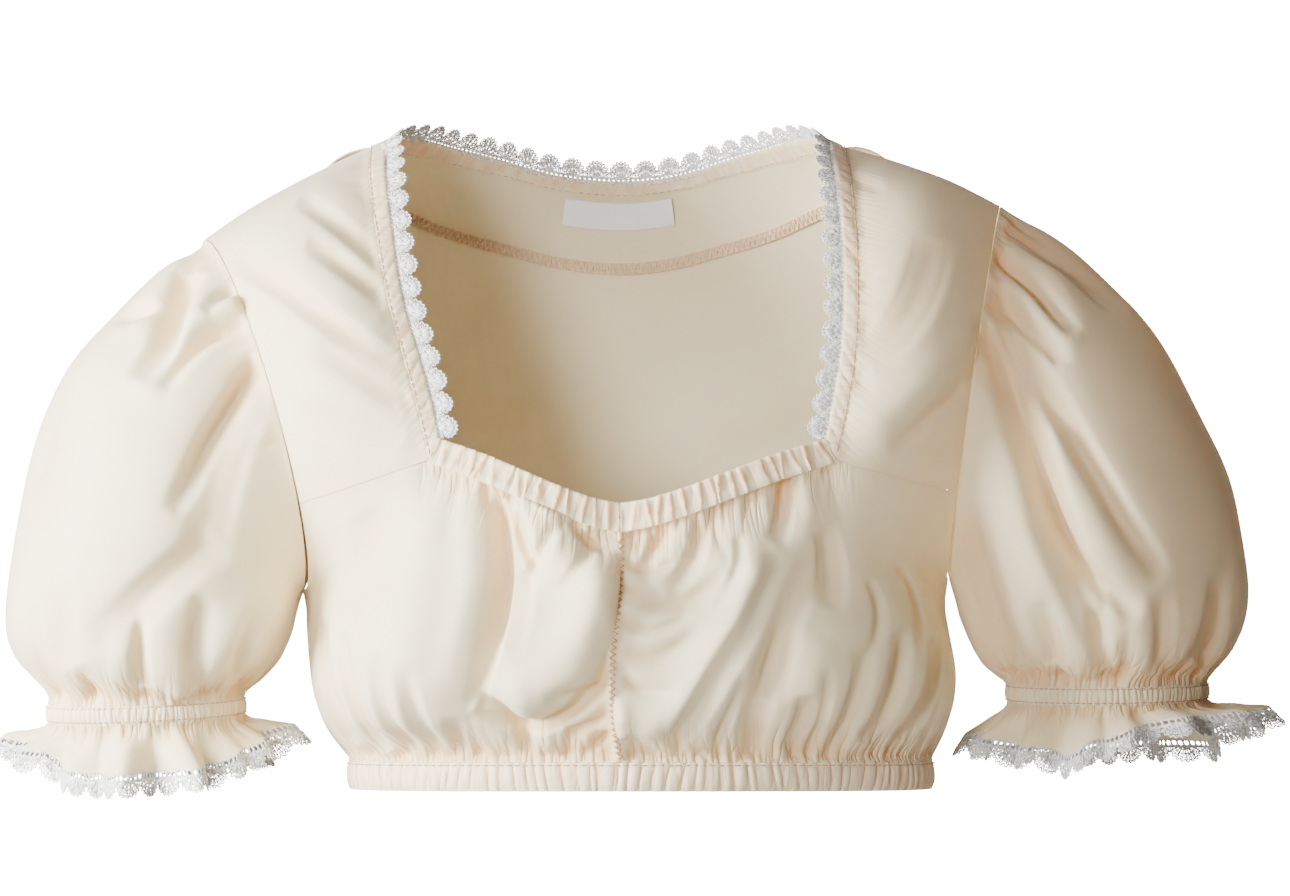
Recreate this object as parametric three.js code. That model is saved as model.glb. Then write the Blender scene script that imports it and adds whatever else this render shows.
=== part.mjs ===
// A cropped blouse with puff sleeves, in the hollow form it has when worn.
// Millimetres, +Z up, the front faces -Y, and +X is on the wearer's left.
// The origin lies between the two shoulder lines where they meet the neck.
import * as THREE from "three";

// Walls, and how far an edge is drawn back from its seam line so that the pieces stand apart
const CLOTH = 1.2;
const CASING_WALL = 2.0;
const LACE_WALL = 1.0;
const LABEL_WALL = 1.0;
const SEAM_GAP = 0.3;
const EDGE_INSET = 0.25;
const CORNER_INSET = 0.5;
const ARMHOLE_INSET = 0.65;
const STEEP_INSET = 1.1;

// The sleeve stands this far off the side panel under the arm, fading round and down the sleeve
const UNDERARM = { step: 1.7, roundFade: 3, downFade: 6 };

// Waistband: an elastic casing, an ellipse in plan, a little higher in front
const WAIST = {
  x: 11,
  y: -4,
  halfWidth: 139.5,
  halfDepth: 97,
  top: -299.5,
  height: 13.4,
  frontRise: 6.7,
  riseFade: 4,
};
const SIDE_SEAM_ANGLE = 94.7;
const CENTRE_SEAM_ANGLE = -3.9;
const BACK_ANGLE = 180;

// Neckline: the side casings and the gathered casing of the sweetheart front
const CENTRE_X = 1.5;
const CASING_FORWARD = 2;
const SWEETHEART_HEIGHT = 12.4;
const SHOULDER_ROUND = 2.6;

// Lace edging: scallops of this depth, cut back between them, each in a few straight segments
const LACE = { depth: 10.5, notch: 4.2, roundness: 0.7, pitch: 11.9, perCuff: 32, segments: 3 };

// Angles round an armhole or a sleeve: 0 on top, 90 in front, 180 under the arm, 270 behind
const TOP_ANGLE = 0;
const YOKE_ANGLE = 122;
const UNDERARM_ANGLE = 180;
const FULL_TURN = 360;
const RING_Y = 2;

const degrees = THREE.MathUtils.degToRad;
const mix = THREE.MathUtils.lerp;
const clamp01 = (t) => THREE.MathUtils.clamp(t, 0, 1);
const point = (x, y, z) => new THREE.Vector3(x, y, z);

// Rows of numbers under named columns
function table(columns, rows) {
  const names = columns.split(" ");
  return rows.map((row) => Object.fromEntries(names.map((name, i) => [name, row[i]])));
}

// The neck edge from the shoulder down to the corner: the casing's seam lies `out` and `drop` from it
const NECK_SIDE = table("z y right left out drop", [
  [0, 6, -110.6, 101.0, 8.4, 4],
  [-15, -30, -110.0, 103.2, 8.0, 5],
  [-40, -52, -106.6, 105.6, 7.6, 4],
  [-75, -70, -100.8, 106.5, 7.2, 2],
  [-103, -80, -92.6, 104.5, 7.4, 2],
  [-126, -87, -86.0, 100.5, 7.4, 3],
  [-142, -92, -82.6, 97.4, 4.8, 10],
]);

// The sweetheart edge from the centre to the corner, by share of its width
const SWEETHEART = table("share y z", [
  [0, -106, -171.7],
  [0.13, -107.5, -169.6],
  [0.31, -108, -164.4],
  [0.52, -105.5, -157],
  [0.75, -100, -149],
  [1, -92, -142],
]);

// Lines across the back, by share of the neck's half width from the centre
const BACK_NECK = table("share y z", [
  [0, 74, -18.4],
  [0.27, 72, -15.8],
  [0.5, 63, -9],
  [0.7, 49, -3.5],
  [0.88, 26, 1],
]);
const BACK_STITCH = table("share y z", [
  [0, 78, -25.6],
  [0.27, 76, -22.8],
  [0.52, 67, -16],
  [0.75, 52, -10.5],
  [0.95, 28, -6],
]);
const BACK_YOKE = table("share y z", [
  [0, 87, -62],
  [0.26, 85.5, -59.3],
  [0.5, 79, -53],
  [0.76, 66, -45],
  [0.98, 48, -35],
  [1.18, 28, -26],
]);
const YOKE_ON_SHOULDER = 0.26;

// The centre front seam and the middle of the back, from the waistband up
const FRONT_CENTRE = table("z y x", [
  [-274.5, -110, -1.4],
  [-257.9, -116, -2.3],
  [-239.4, -118, -1.8],
  [-220.9, -117, 0.5],
  [-202.5, -113, 1.9],
  [-184.1, -108, 1.9],
]);
const BACK_CENTRE = table("z y x", [
  [-284, 98, 8],
  [-260, 101, 6],
  [-220, 101, 4],
  [-170, 99, 2],
  [-120, 96, 0],
  [-90, 92, 0],
  [-62, 87, 0],
]);

// The side seams between the waistband and the underarm
const SIDE_SEAM = table("z right left", [
  [-283, -139.4, 157.2],
  [-267, -145.6, 161.4],
  [-251, -148.0, 161.4],
  [-235, -149.2, 158.6],
  [-224, -149.6, 156.9],
]);

// Sleeve sections from the armhole to the cuff: ends of each section on the outer and inner outline
const SLEEVE = {
  right: table("outerX outerZ innerX innerZ depth bow", [
    [-198.2, -48.2, -151.2, -216.2, 62, 15],
    [-219.8, -63.0, -153.6, -222.0, 68, 9],
    [-242.9, -85.0, -155.4, -228.6, 73, 3],
    [-262.1, -108.2, -157.0, -235.4, 76, 0],
    [-276.5, -138.4, -159.2, -242.6, 77, 0],
    [-287.0, -177.8, -162.0, -249.8, 76, 0],
    [-293.3, -221.0, -166.0, -256.0, 71, 0],
    [-289.9, -247.4, -171.4, -261.8, 63, 0],
    [-273.6, -271.4, -180.0, -267.5, 47, 0],
  ]),
  left: table("outerX outerZ innerX innerZ depth bow", [
    [183.4, -32.3, 158.4, -210.4, 62, 5],
    [213.0, -49.0, 161.0, -217.6, 69, 3],
    [237.5, -70.5, 163.2, -225.0, 74, 1],
    [259.5, -97.5, 164.8, -232.2, 77, 0],
    [279.0, -131.0, 166.8, -239.2, 78, 0],
    [295.0, -171.0, 170.0, -246.4, 76, 0],
    [302.4, -213.8, 174.6, -252.8, 71, 0],
    [297.0, -242.6, 180.0, -257.6, 62, 0],
    [282.7, -260.3, 187.2, -261.3, 47, 0],
  ]),
};
const CUFF_HEIGHT = 8.2;

// Ruffles: how far the hem stands out from the cuff and hangs below it, by angle
const RUFFLE = {
  right: table("angle flare drop", [
    [0, 15, 3],
    [18, 10, 12],
    [34, 5, 17],
    [50, 13, 18],
    [66, 5, 21],
    [82, 14, 22],
    [98, 6, 22],
    [114, 14, 21],
    [130, 5, 20],
    [146, 13, 14],
    [164, 12, 8],
    [180, 18, 5],
    [200, 9, 14],
    [220, 16, 18],
    [240, 7, 20],
    [260, 16, 21],
    [280, 7, 21],
    [300, 15, 20],
    [320, 7, 17],
    [340, 13, 9],
  ]),
  left: table("angle flare drop", [
    [0, 24, 3],
    [16, 17, 9],
    [32, 23, 3],
    [48, 16, 5],
    [64, 23, 4],
    [80, 15, 8],
    [96, 20, 14],
    [112, 10, 22],
    [128, 16, 18],
    [144, 8, 18],
    [160, 15, 15],
    [180, 11, 13],
    [200, 17, 17],
    [220, 9, 20],
    [240, 16, 22],
    [260, 8, 24],
    [280, 17, 23],
    [300, 9, 21],
    [320, 18, 22],
    [340, 14, 12],
  ]),
};

// Folds of a panel: each runs over three points of the front plane, a trough where its depth is below 0
const FOLD_COLUMNS = "x1 z1 x2 z2 x3 z3 width depth";
const FRONT_FOLDS = {
  right: table(FOLD_COLUMNS, [
    [-60, -168, -58, -221, -66, -262, 9, -9],
    [-76, -176, -74, -216, -86, -268, 12, 4],
    [-42, -176, -32, -200, -14, -206, 12, 8],
    [-14, -206, -24, -240, -44, -258, 11, 7],
    [-4, -246, -36, -274, -62, -272, 8, -6],
    [-112, -240, -108, -264, -100, -290, 9, -3],
    [-134, -234, -130, -256, -120, -286, 9, -3],
  ]),
  left: table(FOLD_COLUMNS, [
    [14, -236, 40, -208, 70, -184, 10, -5],
    [20, -262, 48, -226, 80, -190, 9, 4],
    [34, -288, 64, -246, 92, -190, 10, -6],
    [66, -290, 90, -246, 104, -190, 11, 5],
    [112, -292, 122, -248, 120, -196, 10, -5],
  ]),
};
const YOKE_FOLDS = {
  right: table(FOLD_COLUMNS, [
    [-181, -56, -146, -82, -108, -108, 7, -3],
    [-148, -36, -130, -46, -114, -58, 6, -2],
    [-144, -55, -128, -64, -112, -76, 6, -2.4],
  ]),
  left: table(FOLD_COLUMNS, [
    [114, -56, 128, -66, 146, -70, 6, -2],
    [116, -84, 132, -92, 150, -112, 7, -2.4],
    [112, -120, 128, -130, 146, -150, 7, -2.4],
  ]),
};
const SLEEVE_FOLDS = {
  right: table(FOLD_COLUMNS, [
    [-198, -58, -214, -84, -230, -118, 11, -7],
    [-182, -68, -200, -96, -216, -128, 10, 5],
    [-171, -112, -196, -150, -200, -190, 11, -7],
    [-188, -192, -217, -214, -250, -240, 12, -6],
    [-172, -222, -190, -244, -206, -262, 10, 4],
  ]),
  left: table(FOLD_COLUMNS, [
    [188, -50, 217, -77, 248, -118, 10, -5],
    [180, -74, 204, -112, 222, -156, 10, -6],
    [196, -106, 232, -168, 266, -236, 13, 7],
    [172, -104, 202, -166, 236, -236, 12, -8],
    [168, -160, 178, -202, 196, -246, 11, 5],
  ]),
};

// Gathers: how many along the line, how deep, and how far they reach; they show a little off the seam
const GATHERS = {
  waistFront: { count: 7, depth: 2.4, reach: 34 },
  waistBack: { count: 7, depth: 2.4, reach: 40 },
  sweetheart: { count: 7, depth: 1.8, reach: 20 },
  sleeveHead: { count: 11, depth: 2.6, reach: 30 },
  sleeveCuff: { count: 11, depth: 3.0, reach: 26 },
};
const SHOWS_AFTER = 7;
const UNEVEN = { shift: 0.014, waves: 3.3 };
const SLEEVE_LENGTH = { outer: 290, inner: 70 };
const HEAD_FADE = { base: 0.45, top: 0.9 };
const SLEEVE_FRONT_FADE = 25;

// Ribs of the casings: how many round each, and how far they stand out
const RIBS = { waist: 32, sweetheart: 10, cuff: 15, depth: 0.8 };

// Fullness: the cup of a front panel by share across and up it, and the bulge of the other panels
const CUP = { across: 0.5, up: 0.46, wide: 0.3, tall: 0.34, depth: 17 };
const YOKE_BULGE = { depth: 9, roundness: 0.8 };
const YOKE_SEAM_BULGE = 10;
const BACK_YOKE_BULGE = 2.5;
const YOKE_FOLD_GAIN = 1.6;

// A ruffle flares more towards its hem, and starts with a short straight fall
const RUFFLE_SHAPE = { curl: 1.4, fall: 3, fallShare: 0.3, laceSlopeFrom: 0.8 };

// The neck's lace, from the right corner round the back to the left corner: it lies into the
// opening at the sides and stands up behind, by its lift in degrees
const NECK_LACE = { sideShares: 8, backShares: 16, turnsWithin: 60, forward: 0.12 };
const NECK_LACE_STANDING = table("share lift", [
  [0, 2],
  [0.2, 6],
  [0.27, 48],
  [0.5, 88],
  [0.73, 48],
  [0.8, 6],
  [1, 2],
]);

// The label, and the length and height of the yoke that it lies on
const LABEL = { width: 54, height: 14.5, fromSeam: 3, clear: 0.7, seamLength: 300, yokeHeight: 38 };

// Grid steps of each piece: along it and away from its first edge
const STEPS = {
  front: [28, 12],
  back: [28, 16],
  yokeFront: [9, 11],
  yokeBack: [20, 3],
  sleeve: [50, 10],
  ruffle: [72, 2],
  sideCasing: [12, 1],
  backCasing: [20, 1],
  label: [6, 2],
  perRib: 3,
};

// Shares of a panel's grid lines where its edges change from one seam to the next
const FRONT = { sideShare: 8 / 12, cornerShare: 16 / 28, height: 118, cornerFade: 0.1 };
const BACK = { sideShare: 4 / 16, yokeShare: 10 / 14, height: 236 };

// How far a panel's section turns round the body: nearly a quarter at the hem, less above
const FRONT_WRAP = { hem: 89, top: 42, from: 0.35, over: 0.65 };
const BACK_WRAP = { hem: 89, top: 46, from: 0.12, over: 0.4 };

// A loft bends to meet its seams: the higher the power, the nearer to the seam
const HIGH_SEAM_REACH = 2;
const LOW_SEAM_REACH = 4;

// Steps for surface normals, and how fast shapes fade in from a panel's edges
const NORMAL_STEP = 0.004;
const FADE = { seam: 4, side: 6, end: 5, backSide: 12 };

// A smooth curve through points, by share of its length
function curveThrough(points) {
  const curve = new THREE.CatmullRomCurve3(points, false, "centripetal");
  return (t) => curve.getPointAt(clamp01(t));
}

// A curve by share of its rows, not of its length
function curveByRow(points) {
  const curve = new THREE.CatmullRomCurve3(points, false, "catmullrom", 0.5);
  return (t) => curve.getPoint(clamp01(t));
}

// A value round a full turn from rows with an angle column, smooth and closed
function aroundTurn(rows, name) {
  return (angle) => {
    const at = THREE.MathUtils.euclideanModulo(angle, FULL_TURN);
    const next = rows.findIndex((row) => row.angle > at);
    const b = next < 0 ? rows[0] : rows[next];
    const a = next < 0 ? rows[rows.length - 1] : rows[next - 1];
    const span = (next < 0 ? FULL_TURN : b.angle) - a.angle;
    const t = (1 - Math.cos((Math.PI * (at - a.angle)) / span)) / 2;
    return mix(a[name], b[name], t);
  };
}

// A patch between four edges: low and high run along u, start and end along v
function patch(low, high, start, end) {
  return (u, v) => {
    const along = low(u).lerp(high(u), v);
    const across = start(v).lerp(end(v), u);
    const corners = low(0).lerp(low(1), u).lerp(high(0).lerp(high(1), u), v);
    return along.add(across).sub(corners);
  };
}

// Normal of a surface at u, v, by small steps; a round surface has no first or last u
function normalOf(surface, u, v, round) {
  const [before, after] = [Math.max(v - NORMAL_STEP, 0), Math.min(v + NORMAL_STEP, 1)];
  const held = (share) => (round ? share : clamp01(share));
  const alongU = surface(held(u + NORMAL_STEP), v).sub(surface(held(u - NORMAL_STEP), v));
  const alongV = surface(u, after).sub(surface(u, before));
  return alongU.cross(alongV).normalize();
}

// A surface moved out along its normal by shift(u, v, point); facing is 1 or -1
function moved(surface, shift, facing, round = false) {
  return (u, v) => {
    const p = surface(u, v);
    return p.addScaledVector(normalOf(surface, u, v, round), facing * shift(u, v, p));
  };
}

// Rises from 0 at both ends of a share to 1 within it
function fade(share, atStart, atEnd = atStart) {
  return Math.min(1, atStart * share, atEnd * (1 - share));
}

// A hump that is 0 at both ends of a share and 1 halfway
function hump(share) {
  return 4 * share * (1 - share);
}

// Waves along a gathered line that fade with the distance away from it, in millimetres
function gathered(kind, along, away) {
  const { count, depth, reach } = kind;
  const uneven = along + UNEVEN.shift * Math.sin(2 * Math.PI * UNEVEN.waves * along);
  const rise = 1 - Math.exp(-away / SHOWS_AFTER);
  return depth * rise * Math.exp(-((away / reach) ** 2)) * Math.cos(2 * Math.PI * count * uneven);
}

// Distance in the front plane from a point to a straight line between two others
function awayFromLine(p, x1, z1, x2, z2) {
  const [lineX, lineZ] = [x2 - x1, z2 - z1];
  const along = ((p.x - x1) * lineX + (p.z - z1) * lineZ) / (lineX ** 2 + lineZ ** 2);
  const nearest = clamp01(along);
  return Math.hypot(p.x - x1 - nearest * lineX, p.z - z1 - nearest * lineZ);
}

// Height of the listed folds at a point, by its distance in the front plane from each fold
function folded(folds, p) {
  return folds.reduce((sum, fold) => {
    const upper = awayFromLine(p, fold.x1, fold.z1, fold.x2, fold.z2);
    const lower = awayFromLine(p, fold.x2, fold.z2, fold.x3, fold.z3);
    return sum + fold.depth * Math.exp(-((Math.min(upper, lower) / fold.width) ** 2));
  }, 0);
}

// A closed wall round a surface: thickness shared between both faces, ribs only outside
function wall(surface, [stepsU, stepsV], options = {}) {
  const { thickness = CLOTH, round = false, ribs = () => 0, facing = 1, gaps = {}, rims = {} } = options;
  const columns = round ? stepsU : stepsU + 1;
  const grid = [];
  for (let i = 0; i < columns; i += 1) {
    grid.push([]);
    for (let j = 0; j <= stepsV; j += 1) grid[i].push(surface(i / stepsU, j / stepsV));
  }
  insetEdges(grid, round, gaps);
  const normals = gridNormals(grid, round);
  turnRims(normals, rims, stepsU, stepsV);
  const positions = [];
  for (const side of [1, -1]) {
    for (let i = 0; i < columns; i += 1) {
      for (let j = 0; j <= stepsV; j += 1) {
        const outwards = side * facing > 0 ? ribs(i / stepsU, j / stepsV) : 0;
        const reach = side * (thickness / 2 + outwards);
        positions.push(...grid[i][j].clone().addScaledVector(normals[i][j], reach).toArray());
      }
    }
  }
  return closedGeometry(positions, wallFaces(columns, stepsV, round));
}

// Sets a normal to a wanted one, kept on its own side of the cloth
function turnTo(normal, wanted) {
  if (wanted) normal.copy(wanted.dot(normal) < 0 ? wanted.clone().negate() : wanted);
}

// Turns the rims of a wall to the way that their neighbours face
function turnRims(normals, rims, stepsU, stepsV) {
  normals.forEach((line, i) => {
    turnTo(line[0], rims.low?.(i / stepsU));
    turnTo(line[stepsV], rims.high?.(i / stepsU));
  });
  normals[0].forEach((normal, j) => turnTo(normal, rims.start?.(j / stepsV)));
  normals.at(-1).forEach((normal, j) => turnTo(normal, rims.end?.(j / stepsV)));
}

// Pulls the edges of a grid in, so that neighbouring pieces stand apart at their seam
function insetEdges(grid, round, gaps) {
  const { start = EDGE_INSET, end = EDGE_INSET, low = EDGE_INSET, high = EDGE_INSET } = gaps;
  const pull = (edge, inner, by) => edge.add(inner.clone().sub(edge).setLength(by));
  const last = grid[0].length - 1;
  for (const line of grid) {
    const within = [line[1].clone(), line[last - 1].clone()];
    pull(line[0], last > 1 ? within[0] : line[last], low);
    pull(line[last], last > 1 ? within[1] : line[0], high);
  }
  if (round) return;
  for (let j = 0; j <= last; j += 1) {
    pull(grid[0][j], grid[1][j], start);
    pull(grid[grid.length - 1][j], grid[grid.length - 2][j], end);
  }
}

// Vertex normals of a grid of points
function gridNormals(grid, round) {
  const columns = grid.length;
  const rows = grid[0].length;
  const column = (i) => (round ? (i + columns) % columns : THREE.MathUtils.clamp(i, 0, columns - 1));
  return grid.map((line, i) =>
    line.map((_, j) => {
      const alongU = grid[column(i + 1)][j].clone().sub(grid[column(i - 1)][j]);
      const alongV = line[Math.min(j + 1, rows - 1)].clone().sub(line[Math.max(j - 1, 0)]);
      return alongU.cross(alongV).normalize();
    }),
  );
}

// Triangles of a wall's two faces and its rims
function wallFaces(columns, stepsV, round) {
  const rows = stepsV + 1;
  const far = columns * rows;
  const at = (i, j) => (i % columns) * rows + j;
  const faces = [];
  const quad = (a, b, c, d) => faces.push(a, b, c, a, c, d);
  const spans = round ? columns : columns - 1;
  for (let i = 0; i < spans; i += 1) {
    for (let j = 0; j < stepsV; j += 1) {
      const [a, b, c, d] = [at(i, j), at(i + 1, j), at(i + 1, j + 1), at(i, j + 1)];
      quad(a, b, c, d);
      faces.push(far + c, far + b, far + a, far + d, far + c, far + a);
    }
    quad(at(i, 0), far + at(i, 0), far + at(i + 1, 0), at(i + 1, 0));
    quad(at(i + 1, stepsV), far + at(i + 1, stepsV), far + at(i, stepsV), at(i, stepsV));
  }
  if (!round) {
    for (let j = 0; j < stepsV; j += 1) {
      const end = columns - 1;
      quad(at(0, j + 1), far + at(0, j + 1), far + at(0, j), at(0, j));
      quad(at(end, j), far + at(end, j), far + at(end, j + 1), at(end, j + 1));
    }
  }
  return faces;
}

// A geometry whose faces point out, whichever way its grid ran
function closedGeometry(positions, faces) {
  const corner = (index) => new THREE.Vector3().fromArray(positions, 3 * index);
  let volume = 0;
  for (let f = 0; f < faces.length; f += 3) {
    volume += corner(faces[f]).dot(corner(faces[f + 1]).cross(corner(faces[f + 2])));
  }
  if (volume < 0) faces.reverse();
  const geometry = new THREE.BufferGeometry();
  geometry.setAttribute("position", new THREE.Float32BufferAttribute(positions, 3));
  geometry.setIndex(faces);
  geometry.computeVertexNormals();
  return geometry;
}

// A point of the waistband's upper edge, by its angle from the front
function waistPoint(angle, below = 0) {
  const a = degrees(angle);
  const rise = WAIST.frontRise * Math.cos(a / 2) ** WAIST.riseFade;
  const x = WAIST.x + WAIST.halfWidth * Math.sin(a);
  return point(x, WAIST.y - WAIST.halfDepth * Math.cos(a), WAIST.top + rise - below);
}

// The way that the waistband faces at an angle
function waistNormal(angle) {
  const a = degrees(angle);
  return point(WAIST.halfDepth * Math.sin(a), -WAIST.halfWidth * Math.cos(a), 0).normalize();
}

// One side of the garment: every line that its panels share
function sideLines(name) {
  const sign = name === "left" ? 1 : -1;
  const sections = SLEEVE[name];
  const outerAt = curveByRow(sections.map((s) => point(s.outerX, s.depth, s.outerZ)));
  const innerAt = curveByRow(sections.map((s) => point(s.innerX, s.bow, s.innerZ)));

  // A point of the sleeve, by share of the way down it and angle round it
  const sleeve = (t, angle) => {
    const outer = outerAt(t);
    const inner = innerAt(t);
    const reach = point((outer.x - inner.x) / 2, 0, (outer.z - inner.z) / 2);
    const towardsBody = point(-sign * reach.z, 0, sign * reach.x).normalize();
    const front = Math.sin(degrees(angle));
    return point((outer.x + inner.x) / 2, RING_Y - outer.y * front, (outer.z + inner.z) / 2)
      .addScaledVector(reach, Math.cos(degrees(angle)))
      .addScaledVector(towardsBody, inner.y * Math.abs(front));
  };
  const armhole = (angle) => sleeve(0, angle);

  const neckRows = NECK_SIDE.map((row) => point(row[name], row.y, row.z));
  const stitchRow = (row) => point(row[name] + sign * row.out, row.y - CASING_FORWARD, row.z - row.drop);
  const stitchRows = NECK_SIDE.map(stitchRow);
  const neck = curveThrough(neckRows);
  const stitch = curveThrough(stitchRows);
  const corner = neckRows.at(-1);
  const stitchCorner = stitchRows.at(-1);

  // The sweetheart casing's upper edge is at 0, its seam with the front panel at 1
  const sweetheartEdge = (below) => {
    const atCentre = point(0, -CASING_FORWARD, -SWEETHEART_HEIGHT);
    const atCorner = stitchCorner.clone().sub(corner);
    const edgePoint = (row) => {
      const edge = point(mix(CENTRE_X, corner.x, row.share), row.y, row.z);
      return edge.addScaledVector(atCentre.clone().lerp(atCorner, row.share), below);
    };
    return curveThrough(SWEETHEART.map(edgePoint));
  };
  const yokeEnd = armhole(YOKE_ANGLE);
  const yokeSeam = (t) => stitchCorner.clone().lerp(yokeEnd, t).add(point(0, -YOKE_SEAM_BULGE * hump(t), 0));

  const tip = armhole(TOP_ANGLE);
  const shoulder = (t) => stitchRows[0].clone().lerp(tip, t).add(point(0, 0, SHOULDER_ROUND * hump(t)));
  const ridge = tip.clone().sub(stitchRows[0]).normalize();
  const shoulderNormal = () => point(-sign * ridge.z, 0, sign * ridge.x);

  const underarm = armhole(UNDERARM_ANGLE);
  const sideRows = SIDE_SEAM.map((row) => point(row[name], RING_Y, row.z));
  const sideSeam = curveThrough([waistPoint(sign * SIDE_SEAM_ANGLE), ...sideRows, underarm]);

  const halfNeck = Math.abs(neckRows[0].x - CENTRE_X);
  const backLine = (rows) => rows.map((row) => point(CENTRE_X + sign * halfNeck * row.share, row.y, row.z));
  const seams = { neck, stitch, sweetheartEdge, yokeSeam, shoulder, shoulderNormal, sideSeam, backLine };
  return { name, sign, sleeve, armhole, ...seams };
}

const RIGHT = sideLines("right");
const LEFT = sideLines("left");

// A line across the whole back from the right shoulder to the left one
function acrossBack(rows, ends) {
  const right = RIGHT.backLine(rows).reverse();
  const left = LEFT.backLine(rows).slice(1);
  return curveByRow([ends(RIGHT), ...right, ...left, ends(LEFT)]);
}

const backNeckLine = acrossBack(BACK_NECK, (side) => side.neck(0));
const backStitchLine = acrossBack(BACK_STITCH, (side) => side.stitch(0));
const backYokeLine = acrossBack(BACK_YOKE, (side) => side.shoulder(YOKE_ON_SHOULDER));

// A half section from a middle line to an edge: `wrap` degrees of an ellipse's quarter turn
function arcSection(middle, edge, wrap, s) {
  const turn = degrees(wrap);
  const across = Math.sin(s * turn) / Math.sin(turn);
  const depth = (Math.cos(s * turn) - Math.cos(turn)) / (1 - Math.cos(turn));
  return point(mix(middle.x, edge.x, across), mix(edge.y, middle.y, depth), mix(middle.z, edge.z, s));
}

// A section's turn in degrees at a share of the way up
function wrapBy({ hem, top, from, over }) {
  return (v) => mix(hem, top, clamp01((v - from) / over));
}

// A panel lofted from its middle line to its side edge, made to meet its low and high seams
function loftedPanel({ middle, edge, wrap, low, high }) {
  const loft = (s, v) => arcSection(middle(v), edge(v), wrap(v), s);
  return (s, v) => {
    const toHigh = high(s).sub(loft(s, 1)).multiplyScalar(v ** HIGH_SEAM_REACH);
    const toLow = low(s).sub(loft(s, 0)).multiplyScalar((1 - v) ** LOW_SEAM_REACH);
    return loft(s, v).add(toHigh).add(toLow);
  };
}

const frontWaistAngle = (side, s) => mix(CENTRE_SEAM_ANGLE, side.sign * SIDE_SEAM_ANGLE, s);

// A front panel's form: from the centre seam to the side seam, and from the waistband up
function frontSurface(side) {
  const centreRows = FRONT_CENTRE.map((row) => point(row.x, row.y, row.z));
  const middle = curveThrough([waistPoint(CENTRE_SEAM_ANGLE), ...centreRows]);
  const edge = (v) => {
    if (v < FRONT.sideShare) return side.sideSeam(v / FRONT.sideShare);
    return side.armhole(mix(UNDERARM_ANGLE, YOKE_ANGLE, (v - FRONT.sideShare) / (1 - FRONT.sideShare)));
  };
  const low = (s) => waistPoint(frontWaistAngle(side, s));
  const sweetheart = side.sweetheartEdge(1);
  const high = (s) => {
    if (s < FRONT.cornerShare) return sweetheart(s / FRONT.cornerShare);
    return side.yokeSeam((s - FRONT.cornerShare) / (1 - FRONT.cornerShare));
  };
  return loftedPanel({ middle, edge, wrap: wrapBy(FRONT_WRAP), low, high });
}

function cupShape(s, v) {
  const across = (s - CUP.across) / CUP.wide;
  const up = (v - CUP.up) / CUP.tall;
  return CUP.depth * Math.exp(-(across ** 2) - up ** 2);
}

function frontPanel(side) {
  const base = frontSurface(side);
  const shift = (s, v, p) => {
    const underCasing = clamp01((FRONT.cornerShare + FRONT.cornerFade - s) / FRONT.cornerFade);
    const top = gathered(GATHERS.sweetheart, s / FRONT.cornerShare, (1 - v) * FRONT.height) * underCasing;
    const bottom = gathered(GATHERS.waistFront, s, v * FRONT.height);
    const inside = (cupShape(s, v) + folded(FRONT_FOLDS[side.name], p)) * fade(v, FADE.end);
    return (inside + top + bottom) * fade(s, FADE.seam, FADE.side);
  };
  const low = (s) => waistNormal(frontWaistAngle(side, s));
  return wall(moved(base, shift, side.sign), STEPS.front, { rims: { low } });
}

const backWaistAngle = (side, s) => side.sign * mix(BACK_ANGLE, SIDE_SEAM_ANGLE, s);

// Half of the back's form: from its middle to the side seam, and from the waistband up
function halfBackSurface(side) {
  const centreRows = BACK_CENTRE.map((row) => point(row.x, row.y, row.z));
  const middle = curveThrough([waistPoint(BACK_ANGLE), ...centreRows]);
  const edge = (v) => {
    if (v < BACK.sideShare) return side.sideSeam(v / BACK.sideShare);
    return side.armhole(mix(UNDERARM_ANGLE, FULL_TURN, (v - BACK.sideShare) / (1 - BACK.sideShare)));
  };
  const low = (s) => waistPoint(backWaistAngle(side, s));
  const high = (s) => {
    if (s < BACK.yokeShare) return backYokeLine(0.5 + (side.sign * s) / BACK.yokeShare / 2);
    return side.shoulder(mix(YOKE_ON_SHOULDER, 1, (s - BACK.yokeShare) / (1 - BACK.yokeShare)));
  };
  return loftedPanel({ middle, edge, wrap: wrapBy(BACK_WRAP), low, high });
}

// Runs a half's function over the whole back: u is 0 at the right side seam and 1 at the left one
function overBothHalves(right, left) {
  return (u, ...rest) => (u < 0.5 ? right(1 - 2 * u, ...rest) : left(2 * u - 1, ...rest));
}

function backPanel() {
  const base = overBothHalves(halfBackSurface(RIGHT), halfBackSurface(LEFT));
  const shift = (u, v) => gathered(GATHERS.waistBack, u, v * BACK.height) * fade(u, FADE.backSide);
  const waistOf = (side) => (s) => waistNormal(backWaistAngle(side, s));
  const shoulderOf = (side) => (s) => (s > BACK.yokeShare ? side.shoulderNormal() : null);
  const rims = {
    low: overBothHalves(waistOf(RIGHT), waistOf(LEFT)),
    high: overBothHalves(shoulderOf(RIGHT), shoulderOf(LEFT)),
  };
  const gaps = { start: CORNER_INSET, end: CORNER_INSET };
  return wall(moved(base, shift, -1), STEPS.back, { rims, gaps });
}

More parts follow.
